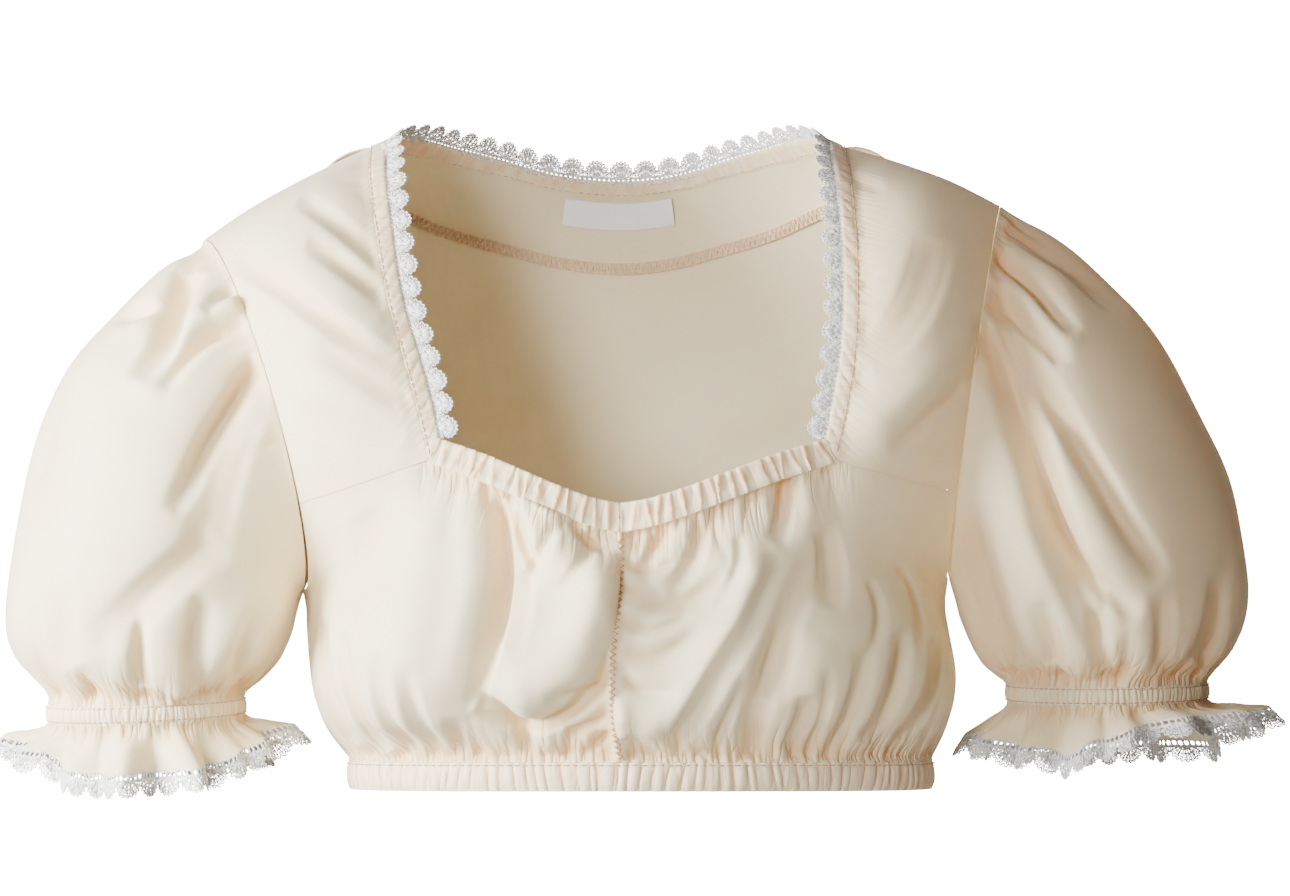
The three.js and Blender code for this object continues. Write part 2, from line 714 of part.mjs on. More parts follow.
function frontYoke(side) {
  const low = side.yokeSeam;
  const start = (v) => side.stitch(1 - v);
  const high = side.shoulder;
  const end = (v) => side.armhole(mix(YOKE_ANGLE, TOP_ANGLE, v));
  const shift = (u, v, p) => {
    const inside = Math.sin(Math.PI * u) * Math.sin(Math.PI * v) ** YOKE_BULGE.roundness;
    return (YOKE_BULGE.depth + YOKE_FOLD_GAIN * folded(YOKE_FOLDS[side.name], p)) * inside;
  };
  const surface = moved(patch(low, high, start, end), shift, side.sign);
  const rims = { high: side.shoulderNormal };
  return wall(surface, STEPS.yokeFront, { rims, gaps: { high: CORNER_INSET } });
}

const between = (low, high) => (u, v) => low(u).lerp(high(u), v);

const backYokeSurface = moved(between(backStitchLine, backYokeLine), (_, v) => BACK_YOKE_BULGE * hump(v), 1);

function backYoke() {
  const rims = { start: RIGHT.shoulderNormal, end: LEFT.shoulderNormal };
  const gaps = { high: CORNER_INSET, start: CORNER_INSET, end: CORNER_INSET };
  return wall(backYokeSurface, STEPS.yokeBack, { rims, gaps });
}

function ribWaves(count) {
  return (u) => (RIBS.depth * (1 + Math.cos(2 * Math.PI * count * u))) / 2;
}

function sideCasing(side) {
  const surface = (u, v) => side.neck(u).lerp(side.stitch(u), v);
  return wall(surface, STEPS.sideCasing, {
    thickness: CASING_WALL,
    gaps: { low: 0, start: STEEP_INSET, high: CORNER_INSET, end: CORNER_INSET },
  });
}

function sweetheartCasing(side) {
  const steps = [RIBS.sweetheart * STEPS.perRib, 1];
  const surface = between(side.sweetheartEdge(0), side.sweetheartEdge(1));
  const options = { thickness: CASING_WALL, ribs: ribWaves(RIBS.sweetheart), facing: side.sign };
  return wall(surface, steps, { ...options, gaps: { low: 0 } });
}

function backCasing() {
  const gaps = { low: 0, high: CORNER_INSET, start: STEEP_INSET, end: STEEP_INSET };
  return wall(between(backNeckLine, backStitchLine), STEPS.backCasing, { thickness: CASING_WALL, gaps });
}

function waistband() {
  const surface = (u, v) => waistPoint(FULL_TURN * u, v * WAIST.height);
  const steps = [RIBS.waist * STEPS.perRib, 1];
  const options = { thickness: CASING_WALL, round: true, ribs: ribWaves(RIBS.waist), facing: -1 };
  return wall(surface, steps, { ...options, gaps: { high: 0 } });
}

function sleeveTube(side) {
  const base = (u, v) => {
    const under = (1 - Math.cos(2 * Math.PI * u)) / 2;
    const step = UNDERARM.step * under ** UNDERARM.roundFade * (1 - v) ** UNDERARM.downFade;
    return side.sleeve(v, FULL_TURN * u).add(point(side.sign * step, 0, 0));
  };
  const length = (u) => mix(SLEEVE_LENGTH.inner, SLEEVE_LENGTH.outer, (1 + Math.cos(2 * Math.PI * u)) / 2);
  const shift = (u, v, p) => {
    const onTop = clamp01(HEAD_FADE.base + HEAD_FADE.top * Math.cos(2 * Math.PI * u));
    const head = gathered(GATHERS.sleeveHead, u, v * length(u)) * onTop;
    const cuff = gathered(GATHERS.sleeveCuff, u, (1 - v) * length(u));
    const front = clamp01(-p.y / SLEEVE_FRONT_FADE);
    return head + cuff + folded(SLEEVE_FOLDS[side.name], p) * front * fade(v, FADE.side);
  };
  const surface = moved(base, shift, side.sign, true);
  return wall(surface, STEPS.sleeve, {
    round: true,
    rims: { high: cuffNormal(side) },
    gaps: { low: ARMHOLE_INSET },
  });
}

// The cuff's frame: its centre, its long half, its half depth and the way that the sleeve hangs on
function cuffFrame(side) {
  const outer = side.sleeve(1, TOP_ANGLE);
  const inner = side.sleeve(1, UNDERARM_ANGLE);
  const centre = outer.clone().add(inner).multiplyScalar(0.5);
  const reach = outer.clone().sub(centre);
  const down = point(side.sign * reach.z, 0, -side.sign * reach.x).normalize();
  return { centre, reach, depth: SLEEVE[side.name].at(-1).depth, down };
}

// A point round the cuff, `out` beyond its ring and `below` its upper edge
function cuffPoint(frame, angle, out, below) {
  const across = Math.cos(degrees(angle));
  const front = Math.sin(degrees(angle));
  return frame.centre
    .clone()
    .addScaledVector(frame.reach, across * (1 + out / frame.reach.length()))
    .add(point(0, -(frame.depth + out) * front, 0))
    .addScaledVector(frame.down, below);
}

function cuffNormal(side) {
  const frame = cuffFrame(side);
  return (u) => {
    const onRing = cuffPoint(frame, FULL_TURN * u, 0, 0);
    return cuffPoint(frame, FULL_TURN * u, 1, 0).sub(onRing).normalize();
  };
}

function cuffCasing(side) {
  const frame = cuffFrame(side);
  const surface = (u, v) => cuffPoint(frame, FULL_TURN * u, 0, v * CUFF_HEIGHT);
  const steps = [RIBS.cuff * STEPS.perRib, 1];
  const options = { thickness: CASING_WALL, round: true, ribs: ribWaves(RIBS.cuff), facing: side.sign };
  return wall(surface, steps, options);
}

// The ruffle below the cuff, from its seam at v = 0 to its hem at v = 1
function ruffleSurface(side) {
  const frame = cuffFrame(side);
  const flareAt = aroundTurn(RUFFLE[side.name], "flare");
  const dropAt = aroundTurn(RUFFLE[side.name], "drop");
  return (u, v) => {
    const angle = FULL_TURN * u;
    const out = flareAt(angle) * v ** RUFFLE_SHAPE.curl;
    const below = dropAt(angle) * v + RUFFLE_SHAPE.fall * Math.min(v, RUFFLE_SHAPE.fallShare);
    return cuffPoint(frame, angle, out, CUFF_HEIGHT + below);
  };
}

function ruffle(side) {
  return wall(ruffleSurface(side), STEPS.ruffle, { round: true, rims: { low: cuffNormal(side) } });
}

// Depth of a scalloped lace edging at a share of one scallop
function scallop(share) {
  return LACE.depth - LACE.notch * (1 - Math.sin(Math.PI * (share % 1)) ** LACE.roundness);
}

// The lace of a ruffle carries its slope on from the hem
function cuffLace(side) {
  const hem = ruffleSurface(side);
  const surface = (u, v) => {
    const edge = hem(u, 1);
    const slope = edge.clone().sub(hem(u, RUFFLE_SHAPE.laceSlopeFrom)).normalize();
    return edge.addScaledVector(slope, v * scallop(u * LACE.perCuff));
  };
  const options = { thickness: LACE_WALL, round: true, gaps: { low: SEAM_GAP, high: 0 } };
  return wall(surface, [LACE.perCuff * LACE.segments, 1], options);
}

// Points of the whole neck edge that bears lace, in a fixed number for each stretch
function neckLine() {
  const shares = (count) => Array.from({ length: count }, (_, i) => i / count);
  const rightSide = shares(NECK_LACE.sideShares).map((t) => RIGHT.neck(1 - t));
  const behind = shares(NECK_LACE.backShares).map((t) => backNeckLine(t));
  const leftSide = shares(NECK_LACE.sideShares).map((t) => LEFT.neck(t));
  return [...rightSide, ...behind, ...leftSide, LEFT.neck(1)];
}

function neckLace() {
  const points = neckLine();
  const line = curveThrough(points);
  const count = Math.round(new THREE.CatmullRomCurve3(points).getLength() / LACE.pitch);
  const standing = curveByRow(NECK_LACE_STANDING.map((row) => point(row.share, row.lift, 0)));
  const surface = (u, v) => {
    const edge = line(u);
    const lift = degrees(standing(u).y);
    const inwards = THREE.MathUtils.clamp((CENTRE_X - edge.x) / NECK_LACE.turnsWithin, -1, 1);
    const way = point(inwards * Math.cos(lift), -NECK_LACE.forward, Math.sin(lift)).normalize();
    return edge.addScaledVector(way, v * scallop(u * count));
  };
  const options = { thickness: LACE_WALL, gaps: { low: CASING_WALL / 2 + SEAM_GAP, high: 0 } };
  return wall(surface, [count * LACE.segments, 1], options);
}

// The label lies on the inside of the back yoke, below the casing
function label() {
  const along = (u) => 0.5 + ((u - 0.5) * LABEL.width) / LABEL.seamLength;
  const down = (v) => (LABEL.fromSeam + v * LABEL.height) / LABEL.yokeHeight;
  const inside = CLOTH / 2 + SEAM_GAP + LABEL_WALL / 2 + LABEL.clear;
  const surface = moved((u, v) => backYokeSurface(along(u), down(v)), () => inside, -1);
  return wall(surface, STEPS.label, { thickness: LABEL_WALL });
}

const CREAM = new THREE.MeshStandardMaterial({ color: 0xf1e6d3, roughness: 0.62 });
const CASING_CREAM = new THREE.MeshStandardMaterial({ color: 0xf3dfc6, roughness: 0.66 });
const LACE_WHITE = new THREE.MeshStandardMaterial({ color: 0xf0f0ee, roughness: 0.75 });
const LABEL_WHITE = new THREE.MeshStandardMaterial({ color: 0xf7f8fb, roughness: 0.5 });

const blouse = new THREE.Group();

function add(name, geometry, material) {
  const mesh = new THREE.Mesh(geometry, material.clone());
  mesh.name = name;
  blouse.add(mesh);
}

add("back", backPanel(), CREAM);
add("back_yoke", backYoke(), CREAM);
add("waistband", waistband(), CASING_CREAM);
add("back_neck_casing", backCasing(), CASING_CREAM);
add("neck_lace", neckLace(), LACE_WHITE);
add("label", label(), LABEL_WHITE);
for (const side of [RIGHT, LEFT]) {
  add(`front_${side.name}`, frontPanel(side), CREAM);
  add(`front_yoke_${side.name}`, frontYoke(side), CREAM);
  add(`neck_casing_${side.name}`, sideCasing(side), CASING_CREAM);
  add(`sweetheart_casing_${side.name}`, sweetheartCasing(side), CASING_CREAM);
  add(`sleeve_${side.name}`, sleeveTube(side), CREAM);
  add(`cuff_${side.name}`, cuffCasing(side), CASING_CREAM);
  add(`ruffle_${side.name}`, ruffle(side), CREAM);
  add(`cuff_lace_${side.name}`, cuffLace(side), LACE_WHITE);
}

export default blouse;
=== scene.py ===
"""The looks of a cropped blouse with puff sleeves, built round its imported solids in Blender 4.5.

Shapes are worked out in millimetres in the part's own frame: +Z up, the front faces -Y,
+X on the wearer's left. They become metres when a mesh is made.
"""

import math

import bpy
import numpy as np
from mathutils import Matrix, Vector

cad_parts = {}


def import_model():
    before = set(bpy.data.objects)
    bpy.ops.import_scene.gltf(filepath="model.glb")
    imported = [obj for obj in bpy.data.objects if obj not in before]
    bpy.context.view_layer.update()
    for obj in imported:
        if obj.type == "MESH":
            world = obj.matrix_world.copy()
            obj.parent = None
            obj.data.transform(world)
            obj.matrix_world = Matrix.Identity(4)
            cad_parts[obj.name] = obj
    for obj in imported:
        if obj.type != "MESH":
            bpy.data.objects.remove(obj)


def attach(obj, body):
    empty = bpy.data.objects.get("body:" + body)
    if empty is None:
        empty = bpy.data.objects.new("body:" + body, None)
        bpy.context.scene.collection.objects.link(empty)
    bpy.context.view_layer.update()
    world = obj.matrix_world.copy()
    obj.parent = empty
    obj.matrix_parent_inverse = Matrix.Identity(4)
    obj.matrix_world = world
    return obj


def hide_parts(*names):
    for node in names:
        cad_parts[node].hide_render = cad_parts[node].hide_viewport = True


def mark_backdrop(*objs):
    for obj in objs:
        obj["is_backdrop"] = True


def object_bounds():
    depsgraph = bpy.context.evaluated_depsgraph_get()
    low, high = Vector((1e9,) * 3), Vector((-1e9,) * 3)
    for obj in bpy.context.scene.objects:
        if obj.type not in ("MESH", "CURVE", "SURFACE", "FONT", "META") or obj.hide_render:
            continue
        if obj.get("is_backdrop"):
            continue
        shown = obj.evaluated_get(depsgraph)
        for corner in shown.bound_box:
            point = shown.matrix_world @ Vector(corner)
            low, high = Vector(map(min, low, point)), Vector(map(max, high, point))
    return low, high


METRE = 0.001
TURN = 2 * math.pi

# Walls of the cloth and of the bands, the gap at a seam, and how far a band runs on under cloth
CLOTH = 0.8
BAND_WALL = 1.7
SEAM_GAP = 0.15
UNDERLAP = 1.2
SHARP_ANGLE = 70

# Angles in degrees round an armhole or a sleeve: 0 on top, 90 in front, 180 under the arm
YOKE_ANGLE = 122
UNDERARM_ANGLE = 180
RING_Y = 2
UNDERARM_STEP = 1.7

# Places, heights and bulges of the neck, the seams, the waist, the cuffs and the trims
CENTRE_X = 1.5
CASING_FORWARD = 2
SWEETHEART_HEIGHT = 12.4
SHOULDER_ROUND = 2.6
YOKE_SEAM_BULGE = 10
YOKE_ON_SHOULDER = 0.26
CUFF_HEIGHT = 8.2
SIDE_SEAM_ANGLE = 94.7
CENTRE_SEAM_ANGLE = -3.9
BACK_ANGLE = 180
WAIST = dict(x=11, y=-4, half_width=139.5, half_depth=97, top=-299.5, height=13.4, rise=6.7, fade=4)
CUP = dict(across=0.5, up=0.46, wide=0.3, tall=0.34, depth=17)
YOKE_BULGE = dict(depth=9, roundness=0.8)
BACK_YOKE_BULGE = 2.5
LACE = dict(depth=10.9, foot=3.1, half=0.485, spread=72, pitch=11.9, per_cuff=40, spokes=9, cells=5)
NECK_LACE_TUCK = 2.2
LACE_HANG = 0.9
THREAD = dict(spokes=0.42, short=0.3, arcs=0.3, rim=0.42, net=0.46, fill=0.34, cords=0.42)
LABEL = dict(width=54, height=14.5, seam=300, yoke=38, from_seam=3, lift=2.0, wave=0.35, wall=0.7)

# Small waves of the ruffles, and how the ruffles curl out
FLUTES = dict(count=14, depth=5.2, swing=1.1)
RUFFLE_CURL = 1.4

# Shares of a panel's edge where it changes from one seam to the next
FRONT_SIDE_SHARE = 8 / 12
FRONT_CORNER_SHARE = 16 / 28
BACK_SIDE_SHARE = 4 / 16
BACK_YOKE_SHARE = 10 / 14
FRONT_WRAP = dict(hem=89, top=42, start=0.35, over=0.65)
BACK_WRAP = dict(hem=89, top=46, start=0.12, over=0.4)


def table(columns, rows):
    """Rows of numbers under named columns, one array for each column."""
    return dict(zip(columns.split(), np.array(rows, float).T))


def two_tables(columns, right, left):
    return dict(right=table(columns, right), left=table(columns, left))


NECK_SIDE = table(
    "z y right left out drop",
    [
        [0, 6, -110.6, 101.0, 8.4, 4],
        [-15, -30, -110.0, 103.2, 8.0, 5],
        [-40, -52, -106.6, 105.6, 7.6, 4],
        [-75, -70, -100.8, 106.5, 7.2, 2],
        [-103, -80, -92.6, 104.5, 7.4, 2],
        [-126, -87, -86.0, 100.5, 7.4, 3],
        [-142, -92, -82.6, 97.4, 4.8, 10],
    ],
)
SWEETHEART = table(
    "share y z",
    [
        [0, -106, -171.7],
        [0.13, -107.5, -169.6],
        [0.31, -108, -164.4],
        [0.52, -105.5, -157],
        [0.75, -100, -149],
        [1, -92, -142],
    ],
)
BACK_NECK = table(
    "share y z",
    [[0, 74, -18.4], [0.27, 72, -15.8], [0.5, 63, -9], [0.7, 49, -3.5], [0.88, 26, 1]],
)
BACK_STITCH = table(
    "share y z",
    [[0, 78, -25.6], [0.27, 76, -22.8], [0.52, 67, -16], [0.75, 52, -10.5], [0.95, 28, -6]],
)
BACK_YOKE = table(
    "share y z",
    [[0, 87, -62], [0.26, 85.5, -59.3], [0.5, 79, -53], [0.76, 66, -45], [0.98, 48, -35], [1.18, 28, -26]],
)
FRONT_CENTRE = table(
    "z y x",
    [
        [-274.5, -110, -1.4],
        [-257.9, -116, -2.3],
        [-239.4, -118, -1.8],
        [-220.9, -117, 0.5],
        [-202.5, -113, 1.9],
        [-184.1, -108, 1.9],
    ],
)
BACK_CENTRE = table(
    "z y x",
    [
        [-284, 98, 8],
        [-260, 101, 6],
        [-220, 101, 4],
        [-170, 99, 2],
        [-120, 96, 0],
        [-90, 92, 0],
        [-62, 87, 0],
    ],
)
SIDE_SEAM = table(
    "z right left",
    [
        [-283, -139.4, 157.2],
        [-267, -145.6, 161.4],
        [-251, -148.0, 161.4],
        [-235, -149.2, 158.6],
        [-224, -149.6, 156.9],
    ],
)
SLEEVE = two_tables(
    "outer_x outer_z inner_x inner_z depth bow",
    right=[
        [-198.2, -48.2, -151.2, -216.2, 62, 15],
        [-219.8, -63.0, -153.6, -222.0, 68, 9],
        [-242.9, -85.0, -155.4, -228.6, 73, 3],
        [-262.1, -108.2, -157.0, -235.4, 76, 0],
        [-276.5, -138.4, -159.2, -242.6, 77, 0],
        [-287.0, -177.8, -162.0, -249.8, 76, 0],
        [-293.3, -221.0, -166.0, -256.0, 71, 0],
        [-289.9, -247.4, -171.4, -261.8, 63, 0],
        [-273.6, -271.4, -180.0, -267.5, 47, 0],
    ],
    left=[
        [183.4, -32.3, 158.4, -210.4, 62, 5],
        [213.0, -49.0, 161.0, -217.6, 69, 3],
        [237.5, -70.5, 163.2, -225.0, 74, 1],
        [259.5, -97.5, 164.8, -232.2, 77, 0],
        [279.0, -131.0, 166.8, -239.2, 78, 0],
        [295.0, -171.0, 170.0, -246.4, 76, 0],
        [302.4, -213.8, 174.6, -252.8, 71, 0],
        [297.0, -242.6, 180.0, -257.6, 62, 0],
        [282.7, -260.3, 187.2, -261.3, 47, 0],
    ],
)
RUFFLE = two_tables(
    "angle flare drop",
    right=[
        [0, 17, 3],
        [18, 14, 8],
        [34, 12, 11],
        [50, 8, 19],
        [66, 9, 22],
        [82, 14, 22],
        [98, 6, 22],
        [114, 14, 21],
        [130, 5, 20],
        [146, 13, 14],
        [164, 12, 8],
        [180, 18, 5],
        [200, 9, 14],
        [220, 16, 18],
        [240, 7, 20],
        [260, 16, 21],
        [280, 7, 21],
        [300, 15, 20],
        [320, 7, 17],
        [340, 13, 9],
    ],
    left=[
        [0, 24, 3],
        [16, 17, 9],
        [32, 23, 3],
        [48, 16, 5],
        [64, 23, 4],
        [80, 15, 8],
        [96, 20, 14],
        [112, 10, 22],
        [128, 16, 18],
        [144, 8, 18],
        [160, 15, 15],
        [180, 11, 13],
        [200, 17, 17],
        [220, 9, 20],
        [240, 16, 22],
        [260, 8, 24],
        [280, 17, 23],
        [300, 9, 21],
        [320, 18, 22],
        [340, 14, 12],
    ],
)
NECK_LACE_STANDING = table(
    "share lift", [[0, 2], [0.2, 6], [0.27, 48], [0.5, 88], [0.73, 48], [0.8, 6], [1, 2]]
)

# Main creases, placed over three points of the front plane: a trough where depth is
# below 0, with a ridge of height `lip` beside it, on the left of its way where lip is above 0
CREASE_COLUMNS = "x1 z1 x2 z2 x3 z3 width depth lip"
FRONT_CREASES = two_tables(
    CREASE_COLUMNS,
    right=[
        [-62, -162, -54, -213, -65, -264, 4.5, -6.5, -5],
        [-88, -182, -84, -216, -92, -262, 13, 4, 0],
        [-34, -178, -20, -204, -2, -214, 11, 4.5, 0],
        [-8, -208, -18, -236, -40, -256, 10, 4.5, 0],
        [4, -232, -28, -272, -64, -264, 4.5, -5, -3],
        [-63, -261, -49, -270, -41, -291, 3.6, -5, 2.6],
        [-28, -180, -34, -196, -44, -210, 4, -2.5, 1],
        [-32, -263, -22, -259, -6, -258, 3, -2.8, 1.5],
        [-24, -279, -14, -276, -2, -268, 3, -2.8, 1.5],
        [-14, -290, -8, -284, -2, -279, 2.6, -2.2, 1.1],
        [-46, -176, -44, -190, -36, -204, 3.2, -3.2, 1.8],
        [-20, -178, -14, -188, -3, -194, 3, -2.8, 1.6],
        [-12, -184, -14, -198, -24, -214, 4, -2, 1],
        [-54, -168, -47, -205, -53, -238, 9, -2.6, 0],
        [-119, -234, -116, -260, -108, -290, 4.5, -3.4, 1.8],
        [-136, -228, -132, -256, -124, -288, 5, -3.2, 1.6],
        [-99, -244, -98, -266, -95, -292, 4, -3, 1.5],
        [-87, -248, -86, -268, -84, -292, 4, -2.6, 1.2],
        [-72, -268, -74, -280, -72, -292, 4, -2.5, 1],
        [-120, -176, -112, -200, -116, -226, 9, -1.6, 0],
    ],
    left=[
        [2, -270, 34, -262, 58, -204, 9, 4, 0],
        [24, -286, 46, -250, 74, -196, 6, -3.2, -2.2],
        [62, -294, 66, -250, 90, -192, 7, -2.8, 2],
        [94, -182, 96, -200, 90, -222, 6, -3, 1.4],
        [78, -160, 78, -172, 72, -190, 4.5, -3.6, 2],
        [76, -232, 72, -246, 70, -262, 6, -3, 2],
        [122, -236, 122, -256, 116, -284, 5.5, -3.8, 2],
        [142, -238, 142, -256, 134, -284, 5.5, -3.4, 2],
        [84, -258, 84, -272, 80, -290, 5, -2.8, 1],
        [104, -240, 106, -262, 100, -290, 5, -2.4, 1],
        [24, -184, 18, -192, 12, -206, 4, -2.4, 1],
        [40, -178, 36, -196, 24, -212, 4.5, -2.4, 1],
        [6, -212, 30, -216, 52, -200, 5, -2, 1],
        [4, -238, 22, -242, 40, -228, 5, -2, 1],
        [3, -196, 14, -202, 30, -198, 2.6, -1.6, 0.8],
        [3, -222, 16, -230, 34, -222, 2.6, -1.6, 0.8],
        [3, -250, 12, -258, 28, -258, 2.6, -1.5, 0.7],
        [44, -290, 50, -272, 58, -252, 2.8, -1.7, 0.8],
        [88, -292, 92, -272, 90, -248, 2.8, -1.7, 0.8],
        [110, -206, 112, -226, 106, -250, 3, -1.8, 0.8],
        [56, -186, 54, -202, 44, -220, 2.8, -1.7, 0.8],
        [130, -200, 134, -222, 132, -246, 3.4, -1.8, 0.8],
    ],
)
YOKE_CREASES = two_tables(
    CREASE_COLUMNS,
    right=[
        [-181, -56, -146, -80, -104, -110, 6, -3, 1],
        [-148, -34, -130, -45, -110, -60, 5, -2.4, 1],
        [-144, -55, -126, -64, -108, -78, 5, -2.6, 1],
        [-138, -100, -120, -112, -98, -126, 6, -1.8, 1],
        [-150, -130, -124, -136, -100, -144, 8, -1.6, 0],
    ],
    left=[
        [117, -106, 137, -82, 147, -53, 9, -2, 0.8],
        [120, -133, 144, -113, 162, -98, 8, 2.2, 0],
        [126, -146, 147, -129, 162, -117, 5, -2.4, 1.2],
        [112, -23, 119, -25, 126, -29, 2.4, -0.8, 0.3],
        [112, -72, 118, -70, 124, -64, 2.4, -0.8, 0.3],
        [110, -93, 116, -91, 122, -84, 2.4, -0.8, 0.3],
        [109, -115, 114, -116, 119, -121, 2.4, -0.8, 0.3],
    ],
)
SLEEVE_CREASES = two_tables(
    CREASE_COLUMNS,
    right=[
        [-203, -62, -212, -91, -225, -116, 6, -7.5, 3],
        [-176, -80, -198, -86, -218, -112, 7, 2.4, 0],
        [-173, -90, -196, -96, -214, -120, 3.6, -5.6, -3],
        [-168, -106, -184, -131, -209, -177, 4.6, -6, 2.4],
        [-177, -72, -185, -76, -195, -86, 2.8, -3.2, 2],
        [-220, -78, -229, -82, -240, -84, 2.8, -3.2, 2],
        [-166, -108, -186, -156, -194, -204, 9, -2.8, -2],
        [-187, -190, -212, -210, -246, -240, 8, -3.4, 2],
        [-170, -222, -188, -240, -204, -258, 8, 3.5, 0],
        [-190, -50, -204, -58, -221, -96, 3.4, -3.6, -2.4],
        [-224, -262, -226, -244, -224, -228, 3.4, -4, 2],
        [-258, -252, -263, -236, -264, -212, 6, -2.0, 1],
        [-200, -262, -200, -240, -194, -216, 4.5, -3.4, 1],
        [-180, -260, -178, -238, -168, -214, 4.5, -3, 1],
        [-262, -110, -272, -150, -276, -190, 10, -2, 0],
    ],
    left=[
        [184, -40, 210, -54, 242, -80, 5.5, -3.4, 2],
        [180, -52, 199, -72, 216, -94, 3.6, -4.8, 2.4],
        [178, -68, 194, -88, 211, -108, 3.6, -4.4, 2.2],
        [178, -75, 194, -106, 208, -138, 5.5, -3.8, 2],
        [176, -90, 188, -124, 197, -156, 5.5, -3.2, 2],
        [180, -92, 200, -166, 228, -240, 8, -6, -3],
        [198, -110, 226, -160, 256, -208, 5, -5, -3.6],
        [189, -144, 212, -194, 246, -226, 4, -5.4, -2.6],
        [166, -172, 173, -216, 186, -252, 8, -3.5, 2],
        [206, -252, 202, -236, 198, -218, 4.5, -3, 1],
        [228, -256, 226, -240, 224, -222, 4.5, -3, 1],
        [256, -256, 258, -238, 256, -216, 4.5, -3, 1],
        [276, -252, 284, -234, 286, -208, 5, -3.4, 1],
    ],
)
BACK_CREASES = table(
    CREASE_COLUMNS,
    [
        [-128, -288, -126, -250, -112, -196, 8, -3.4, 2],
        [-96, -290, -90, -262, -92, -226, 6, -3, 1.6],
        [-70, -292, -60, -246, -66, -190, 9, -3.6, 2.4],
        [-30, -290, -34, -264, -28, -232, 6, -2.8, 1.4],
        [-12, -292, -2, -240, -8, -176, 9, -3.2, 2.2],
        [28, -290, 26, -266, 34, -236, 5, -2.8, 1.4],
        [56, -292, 66, -244, 58, -188, 9, -3.6, 2.2],
        [88, -290, 86, -262, 94, -230, 6, -2.8, 1.5],
        [122, -290, 128, -248, 116, -198, 8, -3.4, 2],
        [-118, -96, -84, -128, -40, -142, 9, -2.6, 1.4],
        [122, -92, 92, -126, 44, -146, 9, -2.6, 1.4],
        [-138, -170, -112, -182, -70, -178, 9, -2.2, 1.2],
        [142, -168, 118, -184, 76, -176, 9, -2.2, 1.2],
    ],
)

# How the creases waver, and their section in widths of the crease: how round the trough's bottom
# is, and where the ridge stands beside it
CREASE_SWAY = dict(size=45, reach=1.2)
TROUGH_ROUND = 0.35
RIDGE = dict(off=1.9, spread=1.2)

# How much wider and stronger than in its table a crease is, by piece
CREASE_SCALE = dict(
    front=(1.2, 1.9), back=(1.2, 1.2), yoke=(1.2, 1.5), sleeve=(1.5, 2.1), sleeve_back=(1.6, 1.7),
)

# Where the creases on the back of a sleeve lie from those on its front
BEHIND_SHIFT = dict(across=-4, down=-9)

# Gathers by seam: mean spacing, longest reach, depth and width at the seam
GATHERS = {
    "casing": dict(pitch=6, reach=34, depth=2.6, width=1.5),
    "casing_soft": dict(pitch=15, reach=66, depth=3.4, width=3.0),
    "waist": dict(pitch=5.6, reach=38, depth=2.8, width=1.6),
    "waist_soft": dict(pitch=15, reach=84, depth=3.6, width=3.2),
    "head": dict(pitch=8, reach=52, depth=3.2, width=2.2),
    "cuff": dict(pitch=8.5, reach=46, depth=3.8, width=1.8),
    "cuff_soft": dict(pitch=15, reach=112, depth=6.0, width=3.4),
    "neck": dict(pitch=9, reach=24, depth=1.2, width=2.2),
    "frill": dict(pitch=7, reach=28, depth=2.8, width=1.5),
    "seam": dict(pitch=7, reach=28, depth=2.4, width=1.6),
}

# Where fine gathers show by a seam: their reach off it and their strength
STREAK_REACH = dict(casing=(15, 0.9), waist=(17, 0.9), head=(14, 0.3), cuff=(20, 1.0), frill=(7, 1.0))
YOKE_STREAKS = dict(reach=9, strength=0.25, slant=0.5)
UNDER_CASING = dict(past=0.1, over=0.18)
SLEEVE_FULLNESS = 1.15
RUFFLE_FULLNESS = 1.2

# Size and depth of the faint unevenness, by piece
RIPPLES = dict(
    front=(40, 0.5), back=(55, 0.9), yoke=(36, 0.35), back_yoke=(34, 0.3), sleeve=(50, 0.8),
    ruffle=(16, 0.3), band=(12, 0.15),
)

RIPPLE_WAVES = 14

# How softly each seam lets go of the folds, by piece
HELD = dict(
    front=dict(start=2, end=5, low=1, high=1),
    back=dict(start=5, end=5, low=1, high=3),
    yoke=dict(start=2, end=4, low=4, high=4),
    back_yoke=dict(low=3, high=3),
    sleeve=dict(low=2, high=1),
    ruffle=dict(low=1.2),
)

# Where random draws start, by piece
SEEDS = dict(front=40, back=71, yoke=90, back_yoke=101, sleeve=120, ruffle=251, cuff_lace=301, neck_lace=307)

# Peach painted shade: how far it reaches from a seam and from its edge, and its shares in open folds,
# in folds by a seam, and at the edge
PEACH_SHADE = dict(seam=16, edge=2.2, open=0.34, by_seam=0.95, at_edge=0.4)

# Passes that smooth a panel's form
FORM_PASSES = 60

# Bands: how their edges are trimmed, where below 0 means run on; spacing and depth of their
# puckers, how far they swell, and how rounded the puckers are
TRIMS = dict(
    waistband=dict(low=-UNDERLAP, high=0),
    sweetheart=dict(low=0, high=-UNDERLAP),
    side_casing=dict(low=0, high=-UNDERLAP, start=0.6),
    back_casing=dict(low=0, high=-UNDERLAP, start=0.6, end=0.6),
    cuff=dict(low=-UNDERLAP, high=-UNDERLAP),
)
BANDS = dict(
    waistband=dict(pitch=6.2, depth=1.7, swell=0.8, puffed=1.0, seed=202),
    sweetheart=dict(pitch=6.2, depth=1.8, swell=0.8, puffed=1.0, seed=211),
    side_casing=dict(pitch=7, depth=0.9, swell=0.3, puffed=0.6, seed=221),
    back_casing=dict(pitch=9, depth=0.7, swell=0.2, puffed=0.4, seed=230),
    cuff=dict(pitch=2.9, depth=1.9, swell=0.8, puffed=1.0, seed=241),
)
